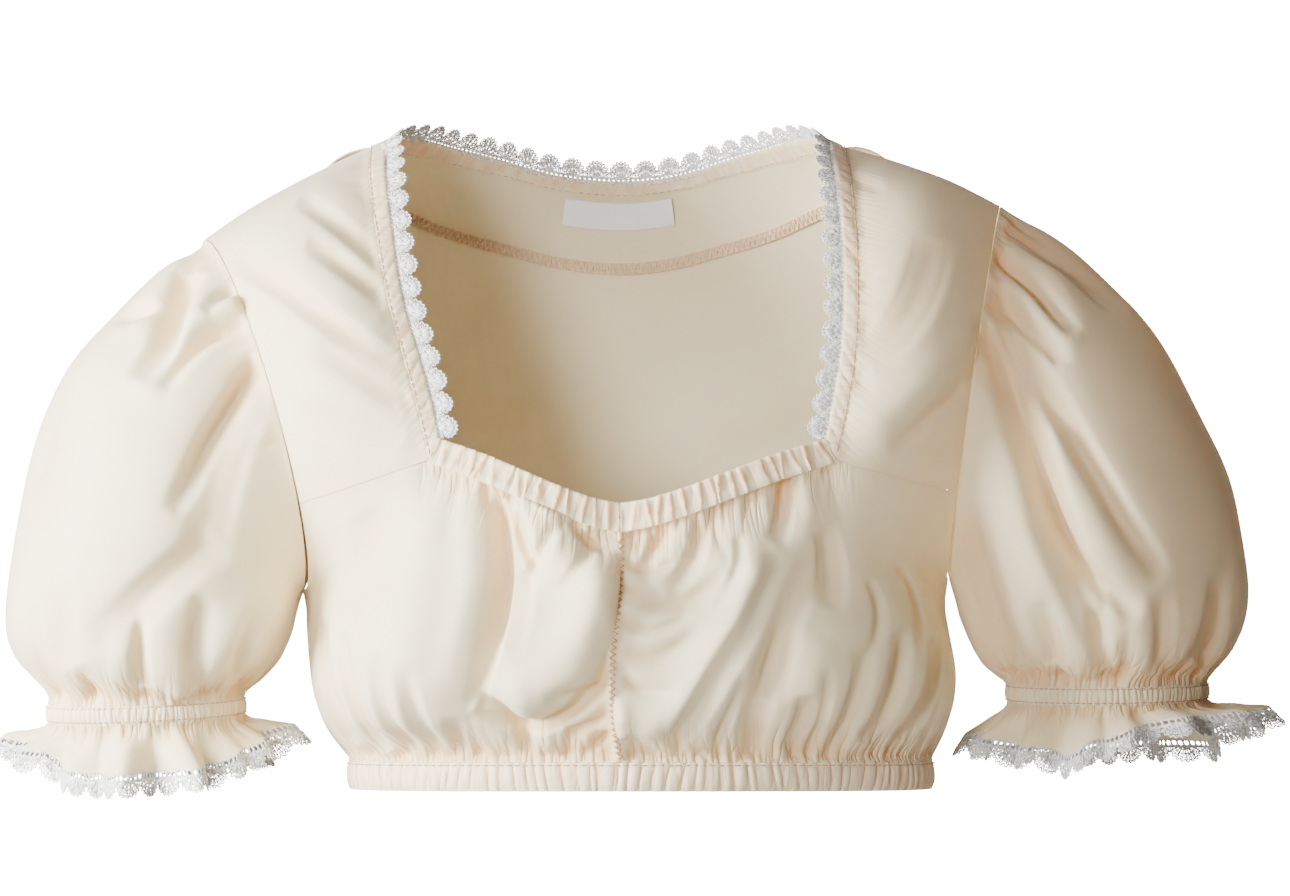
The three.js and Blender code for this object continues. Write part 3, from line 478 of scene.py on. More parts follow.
RIB_PITCH = 5.5
STITCH_SHARE = 0.9
GROOVE = dict(depth=0.4, width=0.09)

# Sewing: stitches and gaps, the zigzag's step and half width, threads' radii
STITCH = dict(length=2.5, gap=1.1, lift=0.25, radius=0.28)
ZIGZAG = dict(pitch=3.2, half=1.4, lift=0.3, radius=0.34)
OVERLOCK = dict(pitch=3.0, half=2.7, lift=0.6, radius=0.42)
ALLOWANCE = dict(half=2.9, shift=0.5, off=1.2, wall=0.9, stitches_off=1.75)

# Colours and the finest scales of the materials
CREAM = (0.9, 0.757, 0.515)
# Painted shade: the deep colours here are the peach put into the folds, gather valleys and seams of the
# cloth and the casings
CREAM_SHADE = (0.86, 0.57, 0.3)
CASING_CREAM = (0.915, 0.775, 0.535)
CASING_SHADE = (0.8, 0.48, 0.24)
THREAD_PEACH = (0.64, 0.37, 0.21)
OVERLOCK_PEACH = (0.97, 0.72, 0.48)
LACE_WHITE = (0.95, 0.95, 0.945)
LABEL_WHITE = (0.94, 0.95, 0.98)
FLOOR_WHITE = (0.9, 0.9, 0.89)
WEAVE = 2600
STREAK = dict(across=0.2, along=0.034, depth=0.0015)
COTTON = {
    "Sheen Weight": 0.25,
    "Sheen Roughness": 0.45,
    "Sheen Tint": (1.0, 0.93, 0.84, 1),
    "Specular IOR Level": 0.35,
    "Subsurface Weight": 0.45,
    "Subsurface Radius": (1.0, 0.55, 0.3),
    "Subsurface Scale": 0.0025,
}

# The scene round the object
AIM = Vector((0.013, 0.0, -0.148))
CAMERA = dict(distance=3.2, elevation=1.0, lens=186.05, sensor=36)
LIGHTS = [
    dict(name="key", place=(-0.78, -0.4, -0.06), size=0.5, power=35, colour=(1.0, 0.985, 0.95)),
    dict(name="fill", place=(0.2, -2.6, 0.1), size=2.0, power=4.6, colour=(1.0, 0.93, 0.82)),
    dict(name="top", place=(-0.5, 0.3, 1.6), size=1.2, power=4.5, colour=(1.0, 0.98, 0.93)),
    dict(name="behind", place=(0.9, 2.4, 0.4), size=1.8, power=5, colour=(1.0, 0.96, 0.9)),
]
SPOT = dict(place=(-0.7, -1.65, 0.0), aim=(-0.04, 0.0, -0.215), angle=21, power=270, size=0.3)
AMBIENT = 0.12
AMBIENT_COLOUR = (1, 0.88, 0.74, 1)
FLOOR = dict(z=-1.1, radius=5)
BACKDROP = dict(glow=20, radius=20)

# What each piece of cloth was cut to in millimetres, the share of that box that the cut fills,
# and what it is sewn to
TWO_SIDED = ("front", "front_yoke", "sleeve", "sweetheart_casing", "neck_casing", "cuff", "ruffle")
CUTS = {
    "front": dict(flat=(250, 165), share=0.9, on=("front_yoke", "waistband")),
    "front_yoke": dict(flat=(118, 170), share=0.76, on=("back_yoke",), parts=("neck_casing",)),
    "back": dict(flat=(460, 305), share=0.82, on=("back_yoke",)),
    "back_yoke": dict(
        flat=(300, 85), share=0.46, on=("back",), parts=("back_neck_casing", "neck_lace", "label")
    ),
    "sleeve": dict(flat=(500, 265), share=0.76, on=("front_yoke", "back"), parts=("cuff",)),
    "ruffle": dict(flat=(440, 21), share=1.0, on=("cuff",), parts=("cuff_lace",)),
    "sweetheart_casing": dict(flat=(130, 12.4), share=1.0, on=("front",)),
    "waistband": dict(flat=(950, 13.4), share=1.0, on=("back",)),
}

# Grid steps of each piece, along it and away from its first edge
STEPS = dict(
    front=(190, 98),
    back=(210, 74),
    yoke=(64, 96),
    back_yoke=(150, 20),
    sleeve=(280, 90),
    ruffle=(400, 15),
    cuff=(940, 7),
    waistband=(1200, 8),
    sweetheart=(260, 10),
    side_casing=(170, 8),
    back_casing=(240, 8),
    label=(40, 12),
)
SMOOTH_RUN = 60
CREASE_STEPS = 16


def mix(a, b, t):
    return a + (b - a) * t


def clamp(t):
    return np.clip(t, 0, 1)


def hump(t):
    """0 at both ends of a share and 1 halfway."""
    return 4 * t * (1 - t)


def points(x, y, z):
    """Points from three coordinates of any like shapes."""
    return np.stack(np.broadcast_arrays(x, y, z), -1).astype(float)


def unit(v):
    return v / np.maximum(np.linalg.norm(v, axis=-1, keepdims=True), 1e-9)


def smooth_run(rows, by_row):
    """Dense points of a smooth curve through rows of points: even by rows, or centripetal."""
    p = np.vstack([2 * rows[0] - rows[1], rows, 2 * rows[-1] - rows[-2]])
    t = np.linspace(0, 1, SMOOTH_RUN, endpoint=False)[:, None]
    parts = []
    for a, b, c, d in zip(p, p[1:], p[2:], p[3:]):
        if by_row:
            leave, arrive = (c - a) / 2, (d - b) / 2
        else:
            ab, bc, cd = (max(np.linalg.norm(k), 1e-4) ** 0.5 for k in (b - a, c - b, d - c))
            leave = ((b - a) / ab - (c - a) / (ab + bc) + (c - b) / bc) * bc
            arrive = ((c - b) / bc - (d - b) / (bc + cd) + (d - c) / cd) * bc
        cubic = 2 * b - 2 * c + leave + arrive
        square = -3 * b + 3 * c - 2 * leave - arrive
        parts.append(((cubic * t + square) * t + leave) * t + b)
    return np.vstack([*parts, rows[-1]])


def curve(rows, by_row=False):
    """A line through points, as a function of the share of its length, or of its rows."""
    run = smooth_run(np.asarray(rows, float), by_row)
    steps = np.linalg.norm(np.diff(run, axis=0), axis=1)
    where = np.linspace(0, 1, len(run)) if by_row else np.append(0, np.cumsum(steps)) / steps.sum()
    return lambda t: np.stack([np.interp(clamp(t), where, run[:, k]) for k in range(3)], -1)


def joined(share, first, second):
    """One line made of two: the first up to a share of the way, and then the second."""

    def line(t):
        t = np.asarray(t, float)
        before = first(clamp(t / share))
        return np.where((t < share)[..., None], before, second(clamp((t - share) / (1 - share))))

    return line


def around(rows, name):
    """A smooth closed value round a full turn, from rows with an angle column."""
    angles = np.append(rows["angle"], 360)
    values = np.append(rows[name], rows[name][0])

    def value(angle):
        at = np.mod(angle, 360)
        k = np.clip(np.searchsorted(angles, at, side="right") - 1, 0, len(angles) - 2)
        t = (1 - np.cos(np.pi * (at - angles[k]) / (angles[k + 1] - angles[k]))) / 2
        return mix(values[k], values[k + 1], t)

    return value


def waist_point(angle, below=0):
    a = np.radians(angle)
    rise = WAIST["rise"] * np.cos(a / 2) ** WAIST["fade"]
    x = WAIST["x"] + WAIST["half_width"] * np.sin(a)
    return points(x, WAIST["y"] - WAIST["half_depth"] * np.cos(a), WAIST["top"] + rise - below)


class Side:
    """One side of the garment: every line that its panels share."""

    def __init__(self, name):
        self.name = name
        self.sign = 1 if name == "left" else -1
        rows = SLEEVE[name]
        self.outer_at = curve(points(rows["outer_x"], rows["depth"], rows["outer_z"]), by_row=True)
        self.inner_at = curve(points(rows["inner_x"], rows["bow"], rows["inner_z"]), by_row=True)
        self.neck_rows = points(NECK_SIDE[name], NECK_SIDE["y"], NECK_SIDE["z"])
        out = points(self.sign * NECK_SIDE["out"], -CASING_FORWARD, -NECK_SIDE["drop"])
        self.stitch_rows = self.neck_rows + out
        self.neck = curve(self.neck_rows)
        self.stitch = curve(self.stitch_rows)
        self.tip = self.armhole(0)
        self.yoke_end = self.armhole(YOKE_ANGLE)
        low = points(SIDE_SEAM[name], RING_Y, SIDE_SEAM["z"])
        waist = waist_point(self.sign * SIDE_SEAM_ANGLE)
        self.side_seam = curve([waist, *low, self.armhole(UNDERARM_ANGLE)])

    def sleeve(self, t, angle):
        """A point of the sleeve, by share of the way down it and angle round it."""
        outer, inner = self.outer_at(t), self.inner_at(t)
        reach = (outer - inner) / 2 * (1, 0, 1)
        towards_body = unit(points(-self.sign * reach[..., 2], 0, self.sign * reach[..., 0]))
        front = np.sin(np.radians(angle))
        middle = (outer + inner) / 2
        ring = points(middle[..., 0], RING_Y - outer[..., 1] * front, middle[..., 2])
        bowed = towards_body * (inner[..., 1] * np.abs(front))[..., None]
        return ring + reach * np.cos(np.radians(angle))[..., None] + bowed

    def armhole(self, angle):
        return self.sleeve(np.zeros_like(np.asarray(angle, float)), np.asarray(angle, float))

    def sweetheart(self, below):
        """The sweetheart casing's upper edge where below is 0, its seam with the front at 1."""
        share = SWEETHEART["share"]
        corner = self.neck_rows[-1]
        edge = points(mix(CENTRE_X, corner[0], share), SWEETHEART["y"], SWEETHEART["z"])
        at_centre = np.array([0, -CASING_FORWARD, -SWEETHEART_HEIGHT])
        return curve(edge + mix(at_centre, self.stitch_rows[-1] - corner, share[:, None]) * below)

    def yoke_seam(self, t):
        t = np.asarray(t, float)
        straight = mix(self.stitch_rows[-1], self.yoke_end, t[..., None])
        return straight + points(0, -YOKE_SEAM_BULGE * hump(t), 0)

    def shoulder(self, t):
        t = np.asarray(t, float)
        return mix(self.stitch_rows[0], self.tip, t[..., None]) + points(0, 0, SHOULDER_ROUND * hump(t))

    def back_line(self, rows):
        half = abs(self.neck_rows[0][0] - CENTRE_X)
        return points(CENTRE_X + self.sign * half * rows["share"], rows["y"], rows["z"])


RIGHT = Side("right")
LEFT = Side("left")
SIDES = (RIGHT, LEFT)


def across_back(rows, end_of):
    """A line across the whole back, from the right shoulder to the left one."""
    ends = [end_of(RIGHT), *RIGHT.back_line(rows)[::-1]]
    return curve([*ends, *LEFT.back_line(rows)[1:], end_of(LEFT)], by_row=True)


BACK_NECK_LINE = across_back(BACK_NECK, lambda side: side.neck(0.0))
BACK_STITCH_LINE = across_back(BACK_STITCH, lambda side: side.stitch(0.0))
BACK_YOKE_LINE = across_back(BACK_YOKE, lambda side: side.shoulder(YOKE_ON_SHOULDER))


def lofted(middle, edge, wrap, low, high, s, v):
    """A panel from its middle line to its side edge, made to meet its low and high seams."""

    def loft(s, v):
        turn = np.radians(mix(wrap["hem"], wrap["top"], clamp((v - wrap["start"]) / wrap["over"])))
        a, b = middle(v), edge(v)
        across = np.sin(s * turn) / np.sin(turn)
        depth = (np.cos(s * turn) - np.cos(turn)) / (1 - np.cos(turn))
        x = mix(a[..., 0], b[..., 0], across)
        return points(x, mix(b[..., 1], a[..., 1], depth), mix(a[..., 2], b[..., 2], s))

    one = np.ones_like(s)
    to_high = (high(s) - loft(s, one)) * (v**2)[..., None]
    to_low = (low(s) - loft(s, 0 * one)) * ((1 - v) ** 4)[..., None]
    return loft(s, v) + to_high + to_low


def front_form(side, s, v):
    rows = points(FRONT_CENTRE["x"], FRONT_CENTRE["y"], FRONT_CENTRE["z"])
    middle = curve([waist_point(CENTRE_SEAM_ANGLE), *rows])
    upper = lambda t: side.armhole(mix(UNDERARM_ANGLE, YOKE_ANGLE, t))
    edge = joined(FRONT_SIDE_SHARE, side.side_seam, upper)
    low = lambda s: waist_point(mix(CENTRE_SEAM_ANGLE, side.sign * SIDE_SEAM_ANGLE, s))
    high = joined(FRONT_CORNER_SHARE, side.sweetheart(1), side.yoke_seam)
    return lofted(middle, edge, FRONT_WRAP, low, high, s, v)


def back_form(side, s, v):
    rows = points(BACK_CENTRE["x"], BACK_CENTRE["y"], BACK_CENTRE["z"])
    middle = curve([waist_point(BACK_ANGLE), *rows])
    upper = lambda t: side.armhole(mix(UNDERARM_ANGLE, 360, t))
    edge = joined(BACK_SIDE_SHARE, side.side_seam, upper)
    low = lambda s: waist_point(side.sign * mix(BACK_ANGLE, SIDE_SEAM_ANGLE, s))
    along_yoke = lambda t: BACK_YOKE_LINE(0.5 + side.sign * t / 2)
    along_shoulder = lambda t: side.shoulder(mix(YOKE_ON_SHOULDER, 1, t))
    high = joined(BACK_YOKE_SHARE, along_yoke, along_shoulder)
    return lofted(middle, edge, BACK_WRAP, low, high, s, v)


def yoke_form(side, u, v):
    low, high = side.yoke_seam, side.shoulder
    start = lambda t: side.stitch(1 - t)
    end = lambda t: side.armhole(mix(YOKE_ANGLE, 0, t))
    u1, v1 = u[..., None], v[..., None]
    zero, one = np.zeros_like(u), np.ones_like(u)
    corners = mix(mix(low(zero), low(one), u1), mix(high(zero), high(one), u1), v1)
    return mix(low(u), high(u), v1) + mix(start(v), end(v), u1) - corners


def grid(steps, closed=False, finer=0.0):
    """Shares along and across a grid, with finer steps towards its low and high edges.

    A closed grid doesn't repeat its first line.
    """
    u = np.arange(steps[0] + (not closed)) / steps[0]
    v = np.linspace(0, 1, steps[1] + 1)
    return np.meshgrid(u, v - finer * np.sin(TURN * v) / TURN, indexing="ij")


def normals(p, closed=False):
    along = np.roll(p, -1, 0) - np.roll(p, 1, 0) if closed else np.gradient(p, axis=0)
    return unit(np.cross(along, np.gradient(p, axis=1)))


def pushed(p, height, facing=1, closed=False):
    return p + facing * height[..., None] * normals(p, closed)


def relaxed(p, passes):
    """A grid smoothed both ways over its inside, with its edges kept."""
    p = p.copy()
    for _ in range(passes):
        up = p[1:-1, :-2] + p[1:-1, 2:]
        on = p[:-2, 1:-1] + p[2:, 1:-1]
        p[1:-1, 1:-1] = (4 * p[1:-1, 1:-1] + up + on) / 8
    return p


def spans(p, closed=False):
    """Distances over a grid from its low, high, start and end edges."""
    up = np.linalg.norm(np.diff(p, axis=1), axis=2)
    low = np.pad(np.cumsum(up, axis=1), ((0, 0), (1, 0)))
    ring = np.concatenate([p, p[:1]]) if closed else p
    on = np.linalg.norm(np.diff(ring, axis=0), axis=2)
    start = np.pad(np.cumsum(on, axis=0), ((1, 0), (0, 0)))
    total = start[-1]
    start = start[: len(p)]
    return dict(low=low, high=low[:, -1:] - low, start=start, end=total - start, around=total)


def held(distance, soft):
    """0 at a seam, and 1 well away from it."""
    return 1 - np.exp(-((distance / soft) ** 1.5))


def trough(x):
    """A crease's section: sharper than a wave at its bottom, soft at its sides."""
    return np.exp(TROUGH_ROUND - np.sqrt(x**2 + TROUGH_ROUND**2))


def gathers(kind, along, away, total, seed, closed=False, slant=0.0):
    """Troughs of uneven spacing, depth, slant and reach that run off a gathered seam."""
    size = GATHERS[kind]
    rng = np.random.default_rng(seed)
    count = max(3, round(total / size["pitch"]))
    height = np.zeros(np.broadcast_shapes(along.shape, away.shape))
    for i in range(count):
        spot = (i + 0.5 + rng.uniform(-0.42, 0.42)) * total / count
        reach = size["reach"] * mix(0.22, 1, rng.random() ** 1.7)
        depth = size["depth"] * rng.uniform(0.4, 1.15)
        width = size["width"] * rng.uniform(0.7, 1.4)
        lean, bend = slant + rng.uniform(-0.22, 0.22), rng.uniform(-0.004, 0.004)
        across = along - spot - lean * away - bend * away**2
        if closed:
            across = np.mod(across + total / 2, total) - total / 2
        share = away / reach
        fade = clamp(1 - share) ** 1.2 * (1 - np.exp(-away / 1.4))
        height -= depth * fade * trough(across / (width * (1 + 1.4 * share)))
    return height


def crease_line(row):
    """Points of one crease in the front plane: a bent line over its three points."""
    t = np.linspace(0, 1, CREASE_STEPS)[:, None]
    a, b, c = (np.array([row[f"x{k}"], row[f"z{k}"]]) for k in (1, 2, 3))
    through = 2 * b - (a + c) / 2
    return (1 - t) ** 2 * a + 2 * t * (1 - t) * through + t**2 * c


def nearest(flat, line):
    """How far points are from a bent line, how far along it, and on which side of it."""
    away, along = np.full(flat.shape[:-1], 1e9), np.zeros(flat.shape[:-1])
    side = np.zeros(flat.shape[:-1])
    for k, (a, b) in enumerate(zip(line, line[1:])):
        d = b - a
        t = clamp(((flat - a) @ d) / (d @ d))
        gap = flat - a - t[..., None] * d
        far = np.linalg.norm(gap, axis=-1)
        nearer = far < away
        away = np.where(nearer, far, away)
        along = np.where(nearer, (k + t) / (len(line) - 1), along)
        side = np.where(nearer, np.sign(d[0] * gap[..., 1] - d[1] * gap[..., 0]), side)
    return away, along, side


def creases(p, rows, kind):
    """Height of the listed creases at points, by their place in the front plane."""
    broad, strength = CREASE_SCALE[kind]
    sway = [ripples(p, 7 + axis, CREASE_SWAY["size"], CREASE_SWAY["reach"]) for axis in (0, 1)]
    flat = p[..., [0, 2]] + np.stack(sway, -1)
    height = np.zeros(p.shape[:-1])
    for i in range(len(rows["width"])):
        row = {name: values[i] for name, values in rows.items()}
        width, depth, lip = row["width"] * broad, row["depth"], row["lip"]
        away, along, side = nearest(flat, crease_line(row))
        ends = hump(along) ** 0.7 * mix(0.35, 1, clamp(3 * (1 - away / width)))
        across = side * away / width
        if depth > 0:
            height += depth * np.exp(-(across**2))
            continue
        from_ridge = across - math.copysign(RIDGE["off"], lip)
        ridge = np.exp(-(from_ridge**2) / RIDGE["spread"])
        height += (depth * trough(across * 1.2) + abs(lip) * ridge) * ends
    return strength * height


def ripples(p, seed, size, depth):
    """Faint soft unevenness of pressed and handled cloth."""
    rng = np.random.default_rng(seed)
    height = np.zeros(p.shape[:-1])
    for _ in range(RIPPLE_WAVES):
        way = unit(rng.normal(size=3))
        wave = TURN / (size * rng.uniform(0.6, 1.9))
        height += np.sin(p @ way * wave + rng.uniform(0, TURN)) * rng.uniform(0.4, 1)
    return depth * height / 4


def link(name, mesh, material):
    mesh.materials.append(material)
    piece = bpy.data.objects.new(name, mesh)
    bpy.context.scene.collection.objects.link(piece)
    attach(piece, "root")
    return piece


def mesh_from(name, verts, quads, ends=()):
    """A smooth mesh in metres from points in millimetres, quads and closing polygons."""
    mesh = bpy.data.meshes.new(name)
    sizes = np.concatenate([np.full(len(quads), 4), *[np.full(len(e), e.shape[1]) for e in ends]])
    loops = np.concatenate([quads.ravel(), *[e.ravel() for e in ends]])
    mesh.vertices.add(len(verts))
    mesh.vertices.foreach_set("co", (verts * METRE).astype(np.float32).ravel())
    mesh.loops.add(len(loops))
    mesh.loops.foreach_set("vertex_index", loops.astype(np.int32))
    mesh.polygons.add(len(sizes))
    starts = np.append(0, np.cumsum(sizes)[:-1])
    mesh.polygons.foreach_set("loop_start", starts.astype(np.int32))
    mesh.polygons.foreach_set("use_smooth", np.ones(len(sizes), bool))
    mesh.update(calc_edges=True)
    return mesh


def shell_quads(columns, rows, closed):
    """Quads of a closed shell: its two faces, and the rims that join them."""
    index = np.arange(columns * rows).reshape(columns, rows)
    ring = np.vstack([index, index[:1]]) if closed else index
    a, b, c, d = ring[:-1, :-1], ring[1:, :-1], ring[1:, 1:], ring[:-1, 1:]
    far = columns * rows
    face = np.stack([a, b, c, d], -1).reshape(-1, 4)
    low, high = ring[:, 0], ring[:, -1]
    strips = [
        np.stack([low[:-1], low[:-1] + far, low[1:] + far, low[1:]], -1),
        np.stack([high[1:], high[1:] + far, high[:-1] + far, high[:-1]], -1),
    ]
    if not closed:
        first, last = index[0], index[-1]
        strips.append(np.stack([first[1:], first[1:] + far, first[:-1] + far, first[:-1]], -1))
        strips.append(np.stack([last[:-1], last[:-1] + far, last[1:] + far, last[1:]], -1))
    return np.concatenate([face, face[:, ::-1] + far, *strips])


def signed_volume(verts, quads):
    a, b, c, d = (verts[quads[:, k]] for k in range(4))
    one = np.einsum("ij,ij->i", a, np.cross(b, c))
    return (one + np.einsum("ij,ij->i", a, np.cross(c, d))).sum()


def streaks(along, away, strength):
    """Where fine gathers run over a grid: millimetres along the seam and off it, and strength."""
    return np.broadcast_arrays(along, away, strength)


def shell(name, p, material, wall=CLOTH, closed=False, warmth=None, fine=None):
    """A closed thin shell on a grid of points; wall is a thickness or a grid of them."""
    wall = np.broadcast_to(np.asarray(wall, float), p.shape[:-1])[..., None]
    n = normals(p, closed)
    verts = np.concatenate([(p + n * wall / 2).reshape(-1, 3), (p - n * wall / 2).reshape(-1, 3)])
    quads = shell_quads(p.shape[0], p.shape[1], closed)
    if signed_volume(verts, quads) < 0:
        quads = quads[:, ::-1]
    mesh = mesh_from(name, verts, quads)
    far = spans(p, closed)
    uv = np.stack([far["start"], far["low"]], -1).reshape(-1, 2) * METRE
    along, away, strength = fine or np.zeros((3, *p.shape[:-1]))
    gathered = np.stack([along, away], -1).reshape(-1, 2)
    for title, flat in (("UVMap", uv), ("gathers", gathered)):
        layer = mesh.uv_layers.new(name=title)
        corners = np.vstack([flat, flat])[quads.ravel()].astype(np.float32)
        layer.data.foreach_set("uv", corners.ravel())
    # Painted shade: how much of the peach shade colour each point takes
    shade_amount = np.zeros(p.shape[:-1]) if warmth is None else clamp(warmth)
    for title, values in (("warmth", shade_amount), ("gathered", strength)):
        attribute = mesh.attributes.new(title, "FLOAT", "POINT")
        attribute.data.foreach_set("value", np.tile(values.ravel(), 2).astype(np.float32))
    mesh.set_sharp_from_angle(angle=math.radians(SHARP_ANGLE))
    return link(name, mesh, material)


def trimmed(p, closed=False, low=SEAM_GAP, high=SEAM_GAP, start=SEAM_GAP, end=SEAM_GAP):
    """Pulls a grid's edges back from their seams, or runs them on where a size is below 0."""
    p = p.copy()
    p[:, 0] += unit(p[:, 1] - p[:, 0]) * low
    p[:, -1] += unit(p[:, -2] - p[:, -1]) * high
    if not closed:
        p[0] += unit(p[1] - p[0]) * start
        p[-1] += unit(p[-2] - p[-1]) * end
    return p


def tubes(name, lines, radius, material, sides=4):
    """Many threads as one mesh: lines is an array of like runs of points; ends are closed."""
    lines = np.asarray(lines, float)
    count, steps = lines.shape[:2]
    way = unit(np.gradient(lines, axis=1))
    bow = np.cross(way[:, :1], way[:, -1:]) + 1e-6
    bent = np.linalg.norm(bow, axis=-1, keepdims=True) > 1e-3
    guide = np.where(bent, unit(bow), (0.31, 0.55, 0.77))
    across = unit(np.cross(way, np.broadcast_to(guide, way.shape)))
    up = np.cross(way, across)
    turn = np.arange(sides) / sides * TURN
    radius = np.broadcast_to(np.asarray(radius, float), (count, steps))[..., None, None]
    ring = across[:, :, None] * np.cos(turn)[:, None] + up[:, :, None] * np.sin(turn)[:, None]
    verts = (lines[:, :, None] + radius * ring).reshape(-1, 3)
    index = np.arange(count * steps * sides).reshape(count, steps, sides)
    turned = np.roll(index, -1, axis=2)
    quads = np.stack([index[:, :-1], turned[:, :-1], turned[:, 1:], index[:, 1:]], -1)
    ends = (index[:, 0, ::-1].reshape(count, sides), index[:, -1].reshape(count, sides))
    mesh = mesh_from(name, verts, quads.reshape(-1, 4), ends)
    return link(name, mesh, material)


# Materials
def feed(tree, node, values):
    """Links each named input of a node to a socket, or sets it to a plain value."""
    for name, value in values.items():
        if isinstance(value, bpy.types.NodeSocket):
            tree.links.new(value, node.inputs[name])
        else:
            node.inputs[name].default_value = value


def node_material(name, colour, roughness):
    material = bpy.data.materials.new(name)
    material.use_nodes = True
    tree = material.node_tree
    shader = tree.nodes["Principled BSDF"]
    feed(tree, shader, {"Base Color": (*colour, 1), "Roughness": roughness})
    return material, tree, shader


def add(tree, kind, values=(), **settings):
    """A shader node with its settings and its inputs."""
    node = tree.nodes.new(f"ShaderNode{kind}")
    for name, value in settings.items():
        setattr(node, name, value)
    feed(tree, node, dict(values))
    return node


def math_node(tree, operation, a, b, clamped=False):
    """A sum or product of two values, each a socket or a number."""
    return add(tree, "Math", {0: a, 1: b}, operation=operation, use_clamp=clamped).outputs[0]


def noise(tree, place, scale, detail, roughness=0.5):
    values = {"Vector": place, "Scale": scale, "Detail": detail, "Roughness": roughness}
    return add(tree, "TexNoise", values).outputs["Fac"]


def bump(tree, height, strength, distance, under=None):
    """A bump's normal, on top of another one where under is given."""
    values = {"Height": height, "Strength": strength, "Distance": distance}
    if under is not None:
        values["Normal"] = under
    return add(tree, "Bump", values).outputs["Normal"]


def spread(tree, value, low, high, ends="To"):
    """A value from 0 to 1 as one from low to high, or the other way where ends is From."""
    values = {"Value": value, f"{ends} Min": low, f"{ends} Max": high}
    return add(tree, "MapRange", values).outputs["Result"]


def tinted(tree, share, first, second):
    """A colour between two, by a share."""
    return add(tree, "Mix", {0: share, 6: (*first, 1), 7: (*second, 1)}, data_type="RGBA").outputs[2]


def gather_streaks(tree):
    """Fine gathers as a height, and how deep the cloth is in their valleys, which sets their painted shade.
    """
    uv = add(tree, "UVMap", uv_map="gathers").outputs["UV"]
    scale = (STREAK["across"], STREAK["along"], 1)
    place = add(tree, "Mapping", {"Vector": uv, "Scale": scale}).outputs["Vector"]
    centred = math_node(tree, "SUBTRACT", noise(tree, place, 1.0, 1.5, 0.4), 0.5)
    puff = math_node(tree, "MULTIPLY", math_node(tree, "ABSOLUTE", centred, 0.0), 4.0, True)
    round_puff = math_node(tree, "POWER", puff, 0.6)
    mask = add(tree, "Attribute", attribute_name="gathered").outputs["Fac"]
    height = math_node(tree, "MULTIPLY", round_puff, mask)
    valley_shade = math_node(tree, "POWER", math_node(tree, "SUBTRACT", 1.0, puff), 3.0)
    return height, math_node(tree, "MULTIPLY", valley_shade, mask)


def weave_height(tree, uv):
    """The fine weave: threads both ways."""
    place = add(tree, "Mapping", {"Vector": uv, "Scale": (WEAVE, WEAVE, WEAVE)}).outputs["Vector"]
    values = {"Vector": place, "Scale": 0.5, "Distortion": 0.6, "Detail": 1.0, "Detail Scale": 1.5}
    ways = [add(tree, "TexWave", values, bands_direction=way).outputs["Fac"] for way in ("X", "Y")]
    return math_node(tree, "MULTIPLY", *ways)


def cloth_material(name, colour, deep, fold_shade_share, valley_shade_share):
    """Cotton: cream, with painted peach shade in its deep folds, by its seams and in the valleys of its
    gathers; a fine weave, faint slubs and a soft sheen.
    """
    material, tree, shader = node_material(name, colour, 0.62)
    place = add(tree, "TexCoord").outputs
    weave = weave_height(tree, place["UV"])
    slubs = noise(tree, place["Object"], 60.0, 6.0, 0.7)
    fine = bump(tree, weave, 0.18, 0.00012)
    broad = bump(tree, slubs, 0.10, 0.0008, fine)
    height, valley_shade = gather_streaks(tree)
    normal = bump(tree, height, 1.0, STREAK["depth"], broad)
    # Painted shade: peach mixed in where the fold mask and the valleys of the fine gathers say
    warmth = add(tree, "Attribute", attribute_name="warmth").outputs["Fac"]
    folds = math_node(tree, "MULTIPLY", warmth, fold_shade_share)
    valleys = math_node(tree, "MULTIPLY", valley_shade, valley_shade_share)
    tint = tinted(tree, math_node(tree, "ADD", folds, valleys, True), colour, deep)
    shade = spread(tree, noise(tree, place["Object"], 9.0, 3.0), 0.965, 1.02)
    tone = add(tree, "HueSaturation", {"Color": tint, "Value": shade}).outputs["Color"]
    roughness = spread(tree, slubs, 0.52, 0.68)
    feed(tree, shader, {"Base Color": tone, "Roughness": roughness, "Normal": normal, **COTTON})
    return material


def thread_material(name, colour, roughness, fleck_shade=0.8):
    """Spun thread with a fine twist, dark flecks of painted shade that stand for the shadows among its
    threads, and a little lustre.
    """
    material, tree, shader = node_material(name, colour, roughness)
    place = add(tree, "TexCoord").outputs["Object"]
    values = {"Vector": place, "Scale": 900.0, "Distortion": 2.0}
    twist = add(tree, "TexWave", values, bands_direction="DIAGONAL").outputs["Fac"]
    # Painted shade: dark flecks at random for the shadows among the threads
    shade_flecks = spread(tree, noise(tree, place, 650.0, 2.0), 0.38, 0.6, "From")
    tint = tinted(tree, shade_flecks, [c * fleck_shade for c in colour], colour)
    normal = bump(tree, twist, 0.35, 0.0001)
    lustre = {"Sheen Weight": 0.3, "Specular IOR Level": 0.5}
    feed(tree, shader, {"Base Color": tint, "Normal": normal, **lustre})
    return material


def label_material():
    material, tree, shader = node_material("label_satin", LABEL_WHITE, 0.38)
    uv = add(tree, "TexCoord").outputs["UV"]
    values = {"Vector": uv, "Scale": 900.0, "Distortion": 0.4}
    ribbed = add(tree, "TexWave", values, bands_direction="Y").outputs["Fac"]
    feed(tree, shader, {"Normal": bump(tree, ribbed, 0.15, 0.0001), "Sheen Weight": 0.2})
    return material


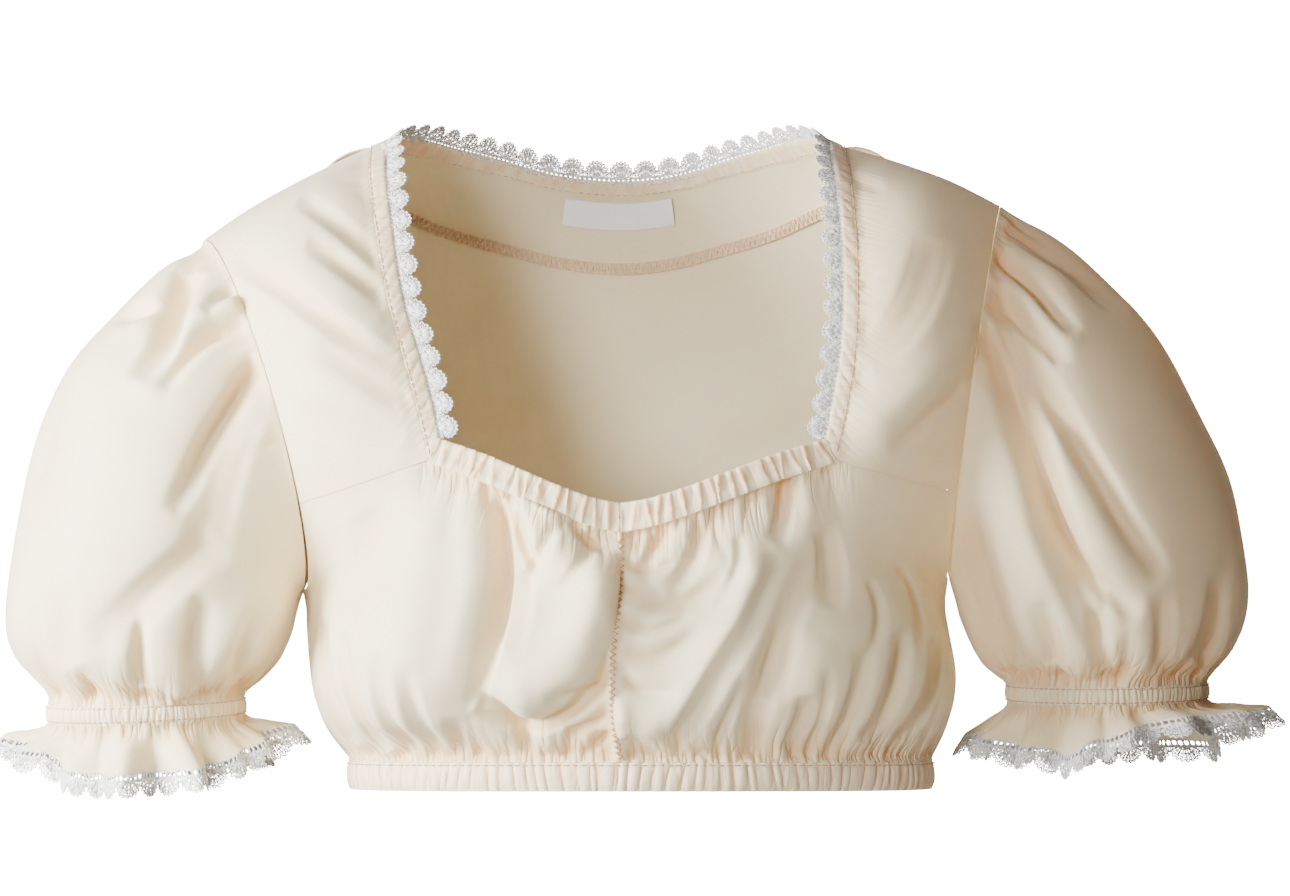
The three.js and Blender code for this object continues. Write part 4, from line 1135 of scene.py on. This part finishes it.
# Cloth pieces
def painted_shade_in_folds(height, edges, depth=3.4):
    """Painted peach shade: how much of it the cloth takes in its deeper folds and close to its seams."""
    near = clamp(sum(np.exp(-edge / PEACH_SHADE["edge"]) for edge in edges))
    by_seam = clamp(sum(np.exp(-edge / PEACH_SHADE["seam"]) for edge in edges))
    share = mix(PEACH_SHADE["open"], PEACH_SHADE["by_seam"], by_seam)
    return clamp(-height / depth) * share + PEACH_SHADE["at_edge"] * near


def let_go(fine, far, kind):
    """Fades the folds to nothing at a piece's seams."""
    for edge, soft in HELD[kind].items():
        fine = fine * held(far[edge], soft)
    return fine


def near_seam(kind, distance):
    """How strongly the fine gathers show, by distance from their seam."""
    reach, strength = STREAK_REACH[kind]
    return strength * np.exp(-((distance / reach) ** 2))


def eased(share, start, end):
    """0 at both ends of a share, up to 1 at two rates."""
    return np.minimum(1, np.minimum(start * share, end * (1 - share)))


def cloth_piece(name, p, height, facing, material, warmth, puffs=None, closed=False, **trims):
    """A shell on a form that is pushed out by its folds and trimmed at its seams."""
    p = trimmed(pushed(p, height, facing, closed), closed, **trims)
    return shell(name, p, material, closed=closed, warmth=warmth, fine=puffs)


def build_front(side, material):
    s, v = grid(STEPS["front"], finer=0.5)
    p = relaxed(front_form(side, s, v), FORM_PASSES)
    far = spans(p)
    cup_up = (v - CUP["up"]) / CUP["tall"]
    cup = CUP["depth"] * np.exp(-(((s - CUP["across"]) / CUP["wide"]) ** 2) - cup_up**2)
    along_top = far["start"][:, -1:]
    along_low = far["start"][:, :1]
    top, total = far["start"][:, -1].max() * FRONT_CORNER_SHARE, far["start"][:, 0].max()
    casing = clamp((FRONT_CORNER_SHARE + UNDER_CASING["past"] - s) / UNDER_CASING["over"])
    casing = casing * casing * (3 - 2 * casing)
    centre = far["low"][:1, :]
    seed = SEEDS["front"] + side.sign
    fine = creases(p, FRONT_CREASES[side.name], "front")
    fine = fine + gathers("casing", along_top, far["high"], top, seed) * casing
    fine = fine + gathers("casing_soft", along_top, far["high"], top, seed + 3) * casing
    fine = fine + gathers("waist", along_low, far["low"], total, seed + 6)
    fine = fine + gathers("waist_soft", along_low, far["low"], total, seed + 9)
    fine = fine + gathers("seam", centre, far["start"], centre.max(), seed + 12)
    fine = let_go(fine + ripples(p, seed, *RIPPLES["front"]), far, "front")
    height = cup * eased(v, 5, 5) * eased(s, 4, 6) + fine
    warmth = painted_shade_in_folds(fine, (far["start"], far["high"], far["low"]))
    at_seams = np.maximum(near_seam("casing", far["high"]) * casing, near_seam("waist", far["low"]))
    puffs = streaks(s * total, far["low"], at_seams)
    return cloth_piece(f"front_cloth_{side.name}", p, height, side.sign, material, warmth, puffs)


def build_back(material):
    u, v = grid(STEPS["back"], finer=0.5)
    right = back_form(RIGHT, clamp(1 - 2 * u), v)
    left = back_form(LEFT, clamp(2 * u - 1), v)
    p = relaxed(np.where((u < 0.5)[..., None], right, left), FORM_PASSES)
    far = spans(p)
    along = far["start"][:, :1]
    total = along.max()
    seed = SEEDS["back"]
    fine = gathers("waist", along, far["low"], total, seed)
    fine = fine + gathers("waist_soft", along, far["low"], total, seed + 1)
    fine = fine + ripples(p, seed + 2, *RIPPLES["back"]) + creases(p, BACK_CREASES, "back")
    fine = let_go(fine, far, "back")
    warmth = painted_shade_in_folds(fine, (far["low"], far["high"], far["start"], far["end"]))
    puffs = streaks(u * total, far["low"], near_seam("waist", far["low"]))
    return cloth_piece("back_cloth", p, fine, -1, material, warmth, puffs)


def build_yoke(side, material):
    u, v = grid(STEPS["yoke"])
    p = yoke_form(side, u, v)
    far = spans(p)
    swell = YOKE_BULGE["depth"] * np.sin(np.pi * u) * np.sin(np.pi * v) ** YOKE_BULGE["roundness"]
    along = far["low"][:1, :]
    seed = SEEDS["yoke"] + side.sign
    fine = gathers("neck", along, far["start"], along.max(), seed, slant=0.45)
    fine = fine + creases(p, YOKE_CREASES[side.name], "yoke") + ripples(p, seed + 4, *RIPPLES["yoke"])
    fine = let_go(fine, far, "yoke")
    warmth = painted_shade_in_folds(fine, (far["start"], far["end"], far["low"]))
    by_neck = YOKE_STREAKS["strength"] * np.exp(-far["start"] / YOKE_STREAKS["reach"])
    puffs = streaks(v * along.max() + YOKE_STREAKS["slant"] * far["start"], far["start"], by_neck)
    name = f"front_yoke_cloth_{side.name}"
    return cloth_piece(name, p, swell + fine, side.sign, material, warmth, puffs)


def back_yoke_grid(u, v):
    p = mix(BACK_STITCH_LINE(u), BACK_YOKE_LINE(u), v[..., None])
    return pushed(p, BACK_YOKE_BULGE * hump(v))


def build_back_yoke(material):
    u, v = grid(STEPS["back_yoke"])
    p = back_yoke_grid(u, v)
    far = spans(p)
    fine = let_go(ripples(p, SEEDS["back_yoke"], *RIPPLES["back_yoke"]), far, "back_yoke")
    warmth = painted_shade_in_folds(fine, (far["low"], far["high"]))
    return cloth_piece("back_yoke_cloth", p, fine, 1, material, warmth)


def build_sleeve(side, material):
    u, v = grid(STEPS["sleeve"], closed=True, finer=0.5)
    under = (1 - np.cos(TURN * u)) / 2
    step = UNDERARM_STEP * under**3 * (1 - v) ** 6
    p = side.sleeve(v, 360 * u) + points(side.sign * step, 0, 0)
    far = spans(p, closed=True)
    seed = SEEDS["sleeve"] + 5 * side.sign
    around_head, around_cuff = far["start"][:, :1], far["start"][:, -1:]
    on_top = clamp(0.45 + 0.9 * np.cos(TURN * u))
    total = far["around"][-1]
    fine = gathers("head", around_head, far["low"], far["around"][0], seed, closed=True) * on_top
    cuff = gathers("cuff", around_cuff, far["high"], total, seed + 1, closed=True)
    cuff = cuff + gathers("cuff_soft", around_cuff, far["high"], total, seed + 2, closed=True)
    on_front, on_back = (clamp(-facing * p[..., 1] / 25) for facing in (1, -1))
    behind = p + points(BEHIND_SHIFT["across"] * side.sign, 0, BEHIND_SHIFT["down"])
    placed = creases(p, SLEEVE_CREASES[side.name], "sleeve") * on_front
    placed = placed + creases(behind, SLEEVE_CREASES[side.name], "sleeve_back") * on_back
    fine = fine + cuff + placed + ripples(p, seed + 4, *RIPPLES["sleeve"])
    fine = let_go(fine, far, "sleeve")
    warmth = painted_shade_in_folds(fine, (far["low"], far["high"]), depth=4.5)
    at_seams = np.maximum(near_seam("head", far["low"]) * on_top, near_seam("cuff", far["high"]))
    from_under = np.mod(u + 0.5, 1) * total * SLEEVE_FULLNESS
    puffs = streaks(from_under, far["low"], at_seams)
    name = f"sleeve_cloth_{side.name}"
    return cloth_piece(name, p, fine, side.sign, material, warmth, puffs, closed=True, low=0.4)


# Bands: flat tubes of doubled cloth, puckered by their elastic
def puckers(along, across, total, pitch, depth, seed, closed=False):
    """Uneven narrow troughs across a band; most run its full height."""
    rng = np.random.default_rng(seed)
    count = round(total / pitch)
    height = np.zeros(np.broadcast_shapes(along.shape, across.shape))
    for i in range(count):
        spot = (i + rng.uniform(-0.38, 0.38)) * total / count
        width = pitch * rng.uniform(0.13, 0.26)
        lean = pitch * rng.uniform(-0.5, 0.5)
        gap = along - spot - lean * (across - 0.5)
        if closed:
            gap = np.mod(gap + total / 2, total) - total / 2
        starts, ends = rng.uniform(-0.6, 0.25), rng.uniform(0.75, 1.6)
        runs = clamp((across - starts) * 6) * clamp((ends - across) * 6)
        height -= depth * rng.uniform(0.45, 1.1) * runs * trough(gap / width)
    return height


def ribs(along, across, total, pitch, depth, seed):
    """Rounded puffs side by side along a band, uneven in width and height, with narrow valleys."""
    rng = np.random.default_rng(seed)
    count = round(total / pitch)
    edges = np.arange(count + 1.0)
    edges[1:-1] += rng.uniform(-0.38, 0.38, count - 1)
    edges *= total / count
    tall = depth * rng.uniform(0.5, 1.2, count)
    lean = 0.45 * pitch * np.sin(7 * TURN * along / total + seed)
    at = np.mod(along + lean * (across - 0.5), total)
    k = np.clip(np.searchsorted(edges, at, side="right") - 1, 0, count - 1)
    return tall[k] * (hump((at - edges[k]) / (edges[k + 1] - edges[k])) ** 0.5 - 1)


def build_band(kind, name, surface, material, facing, closed=False):
    """A casing on a surface that runs along it and across it."""
    size = BANDS[kind]
    pitch, depth, puffed, seed = size["pitch"], size["depth"], size["puffed"], size["seed"] + facing
    u, v = grid(STEPS[kind], closed=closed)
    p = surface(u, v)
    far = spans(p, closed)
    across = far["low"] / np.maximum(far["low"][:, -1:], 1e-6)
    along = far["start"][:, :1]
    total = far["around"][0]
    ruched = puckers(along, across, total, pitch, depth * mix(1, 0.35, puffed), seed, closed)
    ruched = ruched + puffed * ribs(along, across, total, pitch, depth, seed + 1)
    ruched = ruched * mix(0.6, 1, hump(across))
    groove = GROOVE["depth"] * np.exp(-(((across - STITCH_SHARE) / GROOVE["width"]) ** 2))
    height = ruched + size["swell"] * hump(across) + ripples(p, seed, *RIPPLES["band"]) - groove
    wall = BAND_WALL * (0.35 + 0.65 * np.sqrt(clamp(1 - (2 * across - 1) ** 6)))
    # Painted peach shade in the valleys of the puckers, stronger on puffed bands
    in_valleys = clamp(-1.1 * ruched / max(depth, 0.5) - 0.1)
    warmth = mix(0.35, 1, puffed) * in_valleys
    tangent = unit(np.gradient(p[:, :1], axis=0))
    square = along + ((p - p[:, :1]) * tangent).sum(-1)
    strength = np.full(p.shape[:2], mix(0.4, 0.3, puffed))
    fine = streaks(square * RIB_PITCH / pitch, far["low"], strength)
    p = trimmed(pushed(p, height, facing, closed), closed, **TRIMS[kind])
    return shell(name, p, material, wall=wall, closed=closed, warmth=warmth, fine=fine)


def between(first, second):
    """The surface between two lines, by the share along them and the share across."""
    return lambda u, v: mix(first(u), second(u), v[..., None])


def waistband_surface(u, v):
    return waist_point(360 * u, v * WAIST["height"])


def cuff_surface(side):
    return lambda u, v: cuff_point(side, 360 * u, 0 * u, v * CUFF_HEIGHT)


def sweetheart_surface(side):
    return between(side.sweetheart(0), side.sweetheart(1))


def cuff_frame(side):
    outer, inner = side.sleeve(1.0, 0.0), side.sleeve(1.0, 180.0)
    centre = (outer + inner) / 2
    reach = outer - centre
    down = unit(np.array([side.sign * reach[2], 0, -side.sign * reach[0]]))
    return centre, reach, SLEEVE[side.name]["depth"][-1], down


def cuff_point(side, angle, out, below):
    """A point round the cuff, out beyond its ring and below its upper edge."""
    centre, reach, depth, down = cuff_frame(side)
    across, front = np.cos(np.radians(angle)), np.sin(np.radians(angle))
    length = np.linalg.norm(reach)
    spread = (across * (1 + out / length))[..., None] * reach
    return centre + spread + points(0, -(depth + out) * front, 0) + np.asarray(below)[..., None] * down


def flutes(side, u):
    """How far the ruffle's small flutes stand out at its hem: uneven waves round the cuff."""
    turn = TURN * u
    swing = FLUTES["swing"] * np.sin(3 * turn + side.sign) + 0.6 * np.sin(5 * turn)
    wave = np.sin(FLUTES["count"] * turn + swing)
    return FLUTES["depth"] * (0.7 + 0.3 * np.sin(4 * turn + 1)) * (wave + 0.25 * wave**3)


def ruffle_form(side, u, v):
    """The ruffle below the cuff; v over 1 carries its slope on past the hem."""
    flare, drop = around(RUFFLE[side.name], "flare"), around(RUFFLE[side.name], "drop")
    inside = np.minimum(v, 1)
    past = np.maximum(v - 1, 0)
    out = flare(360 * u) * (inside**RUFFLE_CURL + RUFFLE_CURL * past) + flutes(side, u) * v
    below = drop(360 * u) * v + 3 * np.minimum(v, 0.3)
    return cuff_point(side, 360 * u, out, CUFF_HEIGHT + below)


def build_ruffle(side, material):
    u, v = grid(STEPS["ruffle"], closed=True)
    p = ruffle_form(side, u, v)
    far = spans(p, closed=True)
    along = far["start"][:, :1]
    seed = SEEDS["ruffle"]
    fine = gathers("frill", along, far["low"], far["around"][0], seed + side.sign, closed=True)
    fine = let_go(fine + ripples(p, seed + 4, *RIPPLES["ruffle"]), far, "ruffle")
    warmth = painted_shade_in_folds(fine, (far["low"],), depth=2.0)
    puffs = streaks(along * RUFFLE_FULLNESS, far["low"], near_seam("frill", far["low"]))
    name = f"ruffle_cloth_{side.name}"
    return cloth_piece(name, p, fine, side.sign, material, warmth, puffs, closed=True, low=0.2, high=0)


# Lace edging: fans of thread on a row of open mesh
def fan(angle, reach):
    """Where a fan's thread is, by angle and by share of the way from its foot to its edge."""
    tall = LACE["depth"] - LACE["foot"]
    across = mix(0.1, LACE["half"], reach) * np.sin(angle)
    return across, LACE["foot"] + mix(0.5, tall, reach) * np.cos(angle) ** 0.95


def fan_threads(put):
    """The spokes, the arcs across them and the rim of every fan."""
    spread, spokes = np.radians(LACE["spread"]), LACE["spokes"]
    runs = {}

    # spokes that spread from the fan's foot, over and under in turn, and short ones between them
    angle = np.linspace(-spread, spread, spokes)[:, None]
    t = np.linspace(0, 1, 5)
    turn = np.where(np.arange(spokes) % 2, 1, -1)[:, None]
    runs["spokes"] = put(*fan(angle, t), 0.25 * turn * np.sin(np.pi * t), 0.12)
    halfway = (angle[1:] + angle[:-1]) / 2
    runs["short"] = put(*fan(halfway, np.linspace(0.45, 1, 3)), 0.2, 0.12)

    # arcs across the spokes
    angle = np.linspace(-spread, spread, 2 * spokes - 1)
    bent = 0.05 * np.cos(np.pi * np.arange(len(angle)))
    arcs = [put(*fan(angle, reach + bent), 0, 0.15) for reach in (0.3, 0.56, 0.8)]
    runs["arcs"] = np.concatenate(arcs)

    # the rim, with a picot loop at the end of each spoke
    angle = np.linspace(-spread, spread, 5 * spokes + 1)
    loops = np.abs(np.cos(np.pi * angle / spread * (spokes - 1) / 2))
    runs["rim"] = put(*fan(angle, 0.88 + 0.26 * loops))
    return runs


def net_threads(put):
    """The open row between the cloth and the fans: crossed bars, threads between fans, and cords."""
    foot = LACE["foot"]
    t = np.linspace(0, 1, 3)
    net = []
    for way in (1, -1):
        for cell in range(LACE["cells"]):
            lateral = (cell + 0.5 + way * 0.42 * (t - 0.5)) / LACE["cells"] - 0.5
            net.append(put(lateral, foot * t, 0.1 * way, 0.1))
    lateral = np.array([-0.14, -0.05, 0.05, 0.14])[:, None] * (1 - 0.5 * t) + 0.5
    fill = put(lateral, foot + 3.2 * t, 0.1, 0.1)
    t = np.linspace(-0.5, 0.5, 7)
    cords = np.concatenate([put(t, deep, 0, 0.12) for deep in (0.2, foot, foot + 0.7)])
    return dict(net=np.concatenate(net), fill=fill, cords=cords)


def lace_threads(place, count, seed):
    """Runs of points for the threads of a lace strip. place(share, depth, height) gives points."""
    rng = np.random.default_rng(seed)
    fans = np.arange(count)

    def put(lateral, deep, height=0.0, wobble=0.0):
        """Points of every fan, by share of the pitch from the fan's middle and by depth."""
        share = (fans[(...,) + (None,) * np.ndim(lateral)] + 0.5 + lateral) / count
        deep = np.broadcast_to(deep, share.shape) + rng.uniform(-wobble, wobble, share.shape)
        threads = place(share, deep, np.broadcast_to(height, share.shape))
        return threads.reshape(-1, share.shape[-1], 3)

    return {**fan_threads(put), **net_threads(put)}


def build_lace(name, place, count, seed, material):
    """All the threads of a strip, joined into one piece."""
    runs = lace_threads(place, count, seed)
    parts = [tubes(f"{name}_{k}", runs[k], THREAD[k], material) for k in runs]
    return join(name, parts)


def join(name, parts):
    """Joins pieces of one material into the first of them."""
    with bpy.context.temp_override(active_object=parts[0], selected_editable_objects=parts):
        bpy.ops.object.join()
    parts[0].name = name
    parts[0].data.name = name
    return parts[0]


def neck_lace_place():
    """Where the neck's lace lies, and its number of scallops."""
    eighths, sixteenths = np.arange(8) / 8, np.arange(16) / 16
    right, left = RIGHT.neck(1 - eighths), LEFT.neck(eighths)
    line = curve([*right, *BACK_NECK_LINE(sixteenths), *left, LEFT.neck(1.0)])
    length = np.linalg.norm(np.diff(line(np.linspace(0, 1, 900)), axis=0), axis=1).sum()
    count = round(length / LACE["pitch"])
    standing = curve(points(NECK_LACE_STANDING["share"], NECK_LACE_STANDING["lift"], 0), by_row=True)

    def place(share, depth, height):
        edge = line(share)
        lift = np.radians(standing(share)[..., 1])
        inwards = np.clip((CENTRE_X - edge[..., 0]) / 60, -1, 1)
        way = unit(points(inwards * np.cos(lift), -0.12, np.sin(lift)))
        step = 1e-3
        along = unit(line(clamp(share + step)) - line(clamp(share - step)))
        out = unit(np.cross(way, along))
        return edge + way * (depth - NECK_LACE_TUCK)[..., None] + out * np.asarray(height)[..., None]

    return place, count


def cuff_lace_place(side):
    def place(share, depth, height):
        edge = ruffle_form(side, share, np.ones_like(share))
        slope = unit(edge - ruffle_form(side, share, np.full_like(share, 0.8)))
        slope = unit(slope + LACE_HANG * cuff_frame(side)[3])
        step = 1e-3
        one = np.ones_like(share)
        along = unit(ruffle_form(side, share + step, one) - ruffle_form(side, share - step, one))
        out = unit(np.cross(slope, along))
        return edge + slope * (depth + 0.1)[..., None] + out * np.asarray(height)[..., None]

    return place


# Sewing
def sampler(line):
    """The length of a dense line, and values along it by distance."""
    where = np.append(0, np.cumsum(np.linalg.norm(np.diff(line, axis=0), axis=1)))

    def sample(values, at):
        return np.stack([np.interp(at, where, values[:, k]) for k in range(3)], -1)

    return where[-1], sample


def stitch_run(line, out, length=STITCH["length"], gap=STITCH["gap"], lift=STITCH["lift"]):
    """Straight stitches along a dense line of points, lifted off the cloth by out."""
    total, sample = sampler(line)
    starts = np.arange(0, total - length, length + gap)
    at = starts[:, None] + np.array([0, 0.2, 0.8, 1.0]) * length
    high = np.array([-0.2, lift, lift, -0.2])
    return sample(line, at) + unit(sample(out, at)) * high[:, None]


def zigzag_run(line, across, out, size):
    """Zigzag stitches either side of a line."""
    total, sample = sampler(line)
    count = int(total / size["pitch"] * 2)
    t = np.array([0, 0.15, 0.5, 0.85, 1.0])
    at = (np.arange(count)[:, None] + t) * size["pitch"] / 2
    way = np.where(np.arange(count) % 2, 1, -1)[:, None] * (1 - 2 * t)
    high = np.array([-0.15, size["lift"], size["lift"], size["lift"], -0.15])[:, None]
    sideways = unit(sample(across, at)) * (way * size["half"])[..., None]
    return sample(line, at) + sideways + unit(sample(out, at)) * high


def edge_line(surface, v, count):
    """Dense points and outward ways of a surface at one share of its height."""
    rows = [max(v - 0.02, 0), v, min(v + 0.02, 1)]
    p = surface(*np.meshgrid(np.linspace(0, 1, count), rows, indexing="ij"))
    return p[:, 1], normals(p)[:, 1]


def build_sewing(thread):
    """The straight stitches along every casing."""
    reach = BAND_WALL / 2 + 0.1
    runs = []

    def sew(surface, v, facing, off, length=STITCH["length"], gap=STITCH["gap"], count=400):
        line, out = edge_line(surface, v, count)
        runs.append(stitch_run(line + out * facing * off, out * facing, length, gap))

    for side in SIDES:
        sew(between(side.neck, side.stitch), STITCH_SHARE, side.sign, reach - 0.25)
        sew(sweetheart_surface(side), STITCH_SHARE, side.sign, reach - 0.1)
        for v in (0.1, 0.9):
            sew(cuff_surface(side), v, side.sign, reach, 2.2, 1.0)
    for facing in (1, -1):
        sew(between(BACK_NECK_LINE, BACK_STITCH_LINE), STITCH_SHARE, facing, reach - 0.15)
    sew(waistband_surface, 0.08, -1, reach + 0.2, 2.8, 1.2, 900)
    return tubes("straight_stitches", np.concatenate(runs), STITCH["radius"], thread)


def build_centre_zigzag(thread):
    v = np.linspace(0.02, 0.97, 300)
    line = front_form(LEFT, np.zeros_like(v), v)
    out = np.broadcast_to(np.array([0, -1.0, 0]), line.shape)
    across = np.broadcast_to(np.array([1.0, 0, 0]), line.shape)
    lines = zigzag_run(line + out * 0.8, across, out, ZIGZAG)
    return tubes("centre_zigzag", lines, ZIGZAG["radius"], thread, sides=5)


def build_overlock(thread, material):
    """The overlocked seam of the back yoke, on the inside: its folded cloth, then its stitches."""
    u = np.linspace(0.02, 0.98, 420)
    line = BACK_YOKE_LINE(u)
    inner = back_yoke_grid(*np.meshgrid(u, [0.9, 0.95, 1.0], indexing="ij"))
    out = -normals(inner)[:, 2]
    up = unit(inner[:, 0] - inner[:, 2])
    across = np.linspace(-ALLOWANCE["half"], ALLOWANCE["half"], 7)[:, None] + ALLOWANCE["shift"]
    bed = line[:, None] + up[:, None] * across + out[:, None] * ALLOWANCE["off"]
    # The folded allowance takes the full peach painted shade of a seam
    warmth, wall = np.ones(bed.shape[:2]), ALLOWANCE["wall"]
    folded = shell("seam_allowance", bed, material, wall=wall, warmth=warmth)
    centre = line + up * ALLOWANCE["shift"] + out * ALLOWANCE["stitches_off"]
    lines = zigzag_run(centre, up, out, OVERLOCK)
    loops = tubes("overlock_loops", lines, OVERLOCK["radius"], thread)
    rows = [stitch_run(centre + up * high, out, 3.0, 0.5, 0.4) for high in (-2.5, 0.1, 2.6)]
    rails = tubes("overlock_rails", np.concatenate(rows), 0.3, thread)
    return folded, join("overlock", [loops, rails])


def build_label(material):
    u, v = grid(STEPS["label"])
    along = 0.5 + (u - 0.5) * LABEL["width"] / LABEL["seam"]
    down = (LABEL["from_seam"] + v * LABEL["height"]) / LABEL["yoke"]
    lift = LABEL["lift"] + LABEL["wave"] * np.sin(3 * np.pi * u) * hump(v)
    p = pushed(back_yoke_grid(along, down), lift, -1)
    return shell("woven_label", p, material, wall=LABEL["wall"])


# The camera, the lights and the stage
def build_camera():
    data = bpy.data.cameras.new("camera")
    data.lens, data.sensor_width = CAMERA["lens"], CAMERA["sensor"]
    camera = bpy.data.objects.new("camera", data)
    bpy.context.scene.collection.objects.link(camera)
    up = math.radians(CAMERA["elevation"])
    back = Vector((0, -math.cos(up), math.sin(up)))
    camera.location = AIM + back * CAMERA["distance"]
    camera.rotation_euler = (-back).to_track_quat("-Z", "Y").to_euler()
    bpy.context.scene.camera = camera


def place_lamp(data, place, aim):
    lamp = bpy.data.objects.new(data.name, data)
    bpy.context.scene.collection.objects.link(lamp)
    lamp.location = place
    lamp.rotation_euler = (Vector(aim) - Vector(place)).to_track_quat("-Z", "Y").to_euler()


def build_lights():
    for light in LIGHTS:
        data = bpy.data.lights.new(light["name"], "AREA")
        data.shape, data.size = "DISK", light["size"]
        data.energy, data.color = light["power"], light["colour"]
        place_lamp(data, light["place"], AIM)
    data = bpy.data.lights.new("side_spot", "SPOT")
    data.energy, data.spot_size, data.spot_blend = SPOT["power"], math.radians(SPOT["angle"]), 1.0
    data.shadow_soft_size = SPOT["size"]
    place_lamp(data, SPOT["place"], SPOT["aim"])
    world = bpy.data.worlds.new("studio")
    bpy.context.scene.world = world
    world.use_nodes = True
    background = world.node_tree.nodes["Background"]
    background.inputs["Color"].default_value = AMBIENT_COLOUR
    background.inputs["Strength"].default_value = AMBIENT


def build_stage():
    """A pale floor well below, and a white dome that is seen but gives no light."""
    place = (0, 0, FLOOR["z"])
    radius = FLOOR["radius"]
    bpy.ops.mesh.primitive_circle_add(vertices=96, radius=radius, fill_type="NGON", location=place)
    floor = bpy.context.object
    floor.name = "floor"
    floor.data.materials.append(node_material("floor_paper", FLOOR_WHITE, 0.9)[0])
    bpy.ops.mesh.primitive_uv_sphere_add(segments=48, ring_count=24, radius=BACKDROP["radius"])
    dome = bpy.context.object
    dome.name = "backdrop"
    material, tree, shader = node_material("backdrop_white", (0, 0, 0), 1)
    feed(tree, shader, {"Emission Color": (1, 1, 1, 1), "Emission Strength": BACKDROP["glow"]})
    dome.data.materials.append(material)
    for rays in ("diffuse", "glossy", "transmission", "shadow", "volume_scatter"):
        setattr(dome, f"visible_{rays}", False)
    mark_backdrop(floor, dome)


def declare_sheets(pieces, trims):
    """Goes through each sheet of cloth, its flat size and the pieces it is sewn to, and keeps nothing."""
    for name, cut in CUTS.items():
        for side in ("_right", "_left") if name in TWO_SIDED else ("",):
            find = lambda other: pieces[other + side if other in TWO_SIDED else other]
            on = [find(other) for other in cut["on"]]
            with_pieces = [pieces.get(other + side, pieces.get(other)) for other in cut.get("parts", ())]
            node = name + side
            [size * METRE for size in cut["flat"]]
            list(trims.get(node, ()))


def side_pieces(side, cotton, band_cotton, lace_white):
    """The pieces of one side, by the node that each replaces."""
    name, facing = side.name, side.sign
    neck = between(side.neck, side.stitch)
    pieces = dict(
        front=build_front(side, cotton),
        front_yoke=build_yoke(side, cotton),
        sleeve=build_sleeve(side, cotton),
        cuff=build_band("cuff", f"cuff_band_{name}", cuff_surface(side), band_cotton, facing, True),
        ruffle=build_ruffle(side, cotton),
        neck_casing=build_band("side_casing", f"neck_band_{name}", neck, band_cotton, facing),
        sweetheart_casing=build_band(
            "sweetheart", f"sweetheart_band_{name}", sweetheart_surface(side), band_cotton, facing
        ),
        cuff_lace=build_lace(
            f"lace_cuff_{name}", cuff_lace_place(side), LACE["per_cuff"], SEEDS["cuff_lace"], lace_white
        ),
    )
    return {f"{node}_{name}": piece for node, piece in pieces.items()}


def middle_pieces(cotton, band_cotton, lace_white):
    """The pieces that go round or across the whole garment, by the node that each replaces."""
    back_neck = between(BACK_NECK_LINE, BACK_STITCH_LINE)
    return dict(
        back=build_back(cotton),
        back_yoke=build_back_yoke(cotton),
        waistband=build_band("waistband", "waistband_casing", waistband_surface, band_cotton, -1, True),
        back_neck_casing=build_band("back_casing", "back_neck_band", back_neck, band_cotton, 1),
        neck_lace=build_lace("lace_neck", *neck_lace_place(), SEEDS["neck_lace"], lace_white),
        label=build_label(label_material()),
    )


def main():
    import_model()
    cad_low, cad_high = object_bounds()
    build_camera()
    build_lights()
    build_stage()

    # The last two numbers are the shares of painted shade in folds and in gather valleys
    cotton = cloth_material("cream_cotton", CREAM, CREAM_SHADE, 0.75, 0.5)
    band_cotton = cloth_material("casing_cotton", CASING_CREAM, CASING_SHADE, 0.8, 0.6)
    lace_white = thread_material("lace_thread", LACE_WHITE, 0.42, fleck_shade=0.64)
    peach = thread_material("peach_thread", THREAD_PEACH, 0.5)
    overlock_peach = thread_material("overlock_thread", OVERLOCK_PEACH, 0.5)

    pieces = {}
    for side in SIDES:
        pieces.update(side_pieces(side, cotton, band_cotton, lace_white))
    pieces.update(middle_pieces(cotton, band_cotton, lace_white))
    for node, piece in pieces.items():
        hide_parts(node)
    trims = {
        "waistband": [build_sewing(peach)],
        "front_left": [build_centre_zigzag(peach)],
        "back_yoke": build_overlock(overlock_peach, cotton),
    }
    declare_sheets(pieces, trims)

    low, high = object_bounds()
    sizes = dict(cad=[list(cad_low), list(cad_high)], visual=[list(low), list(high)])


main()
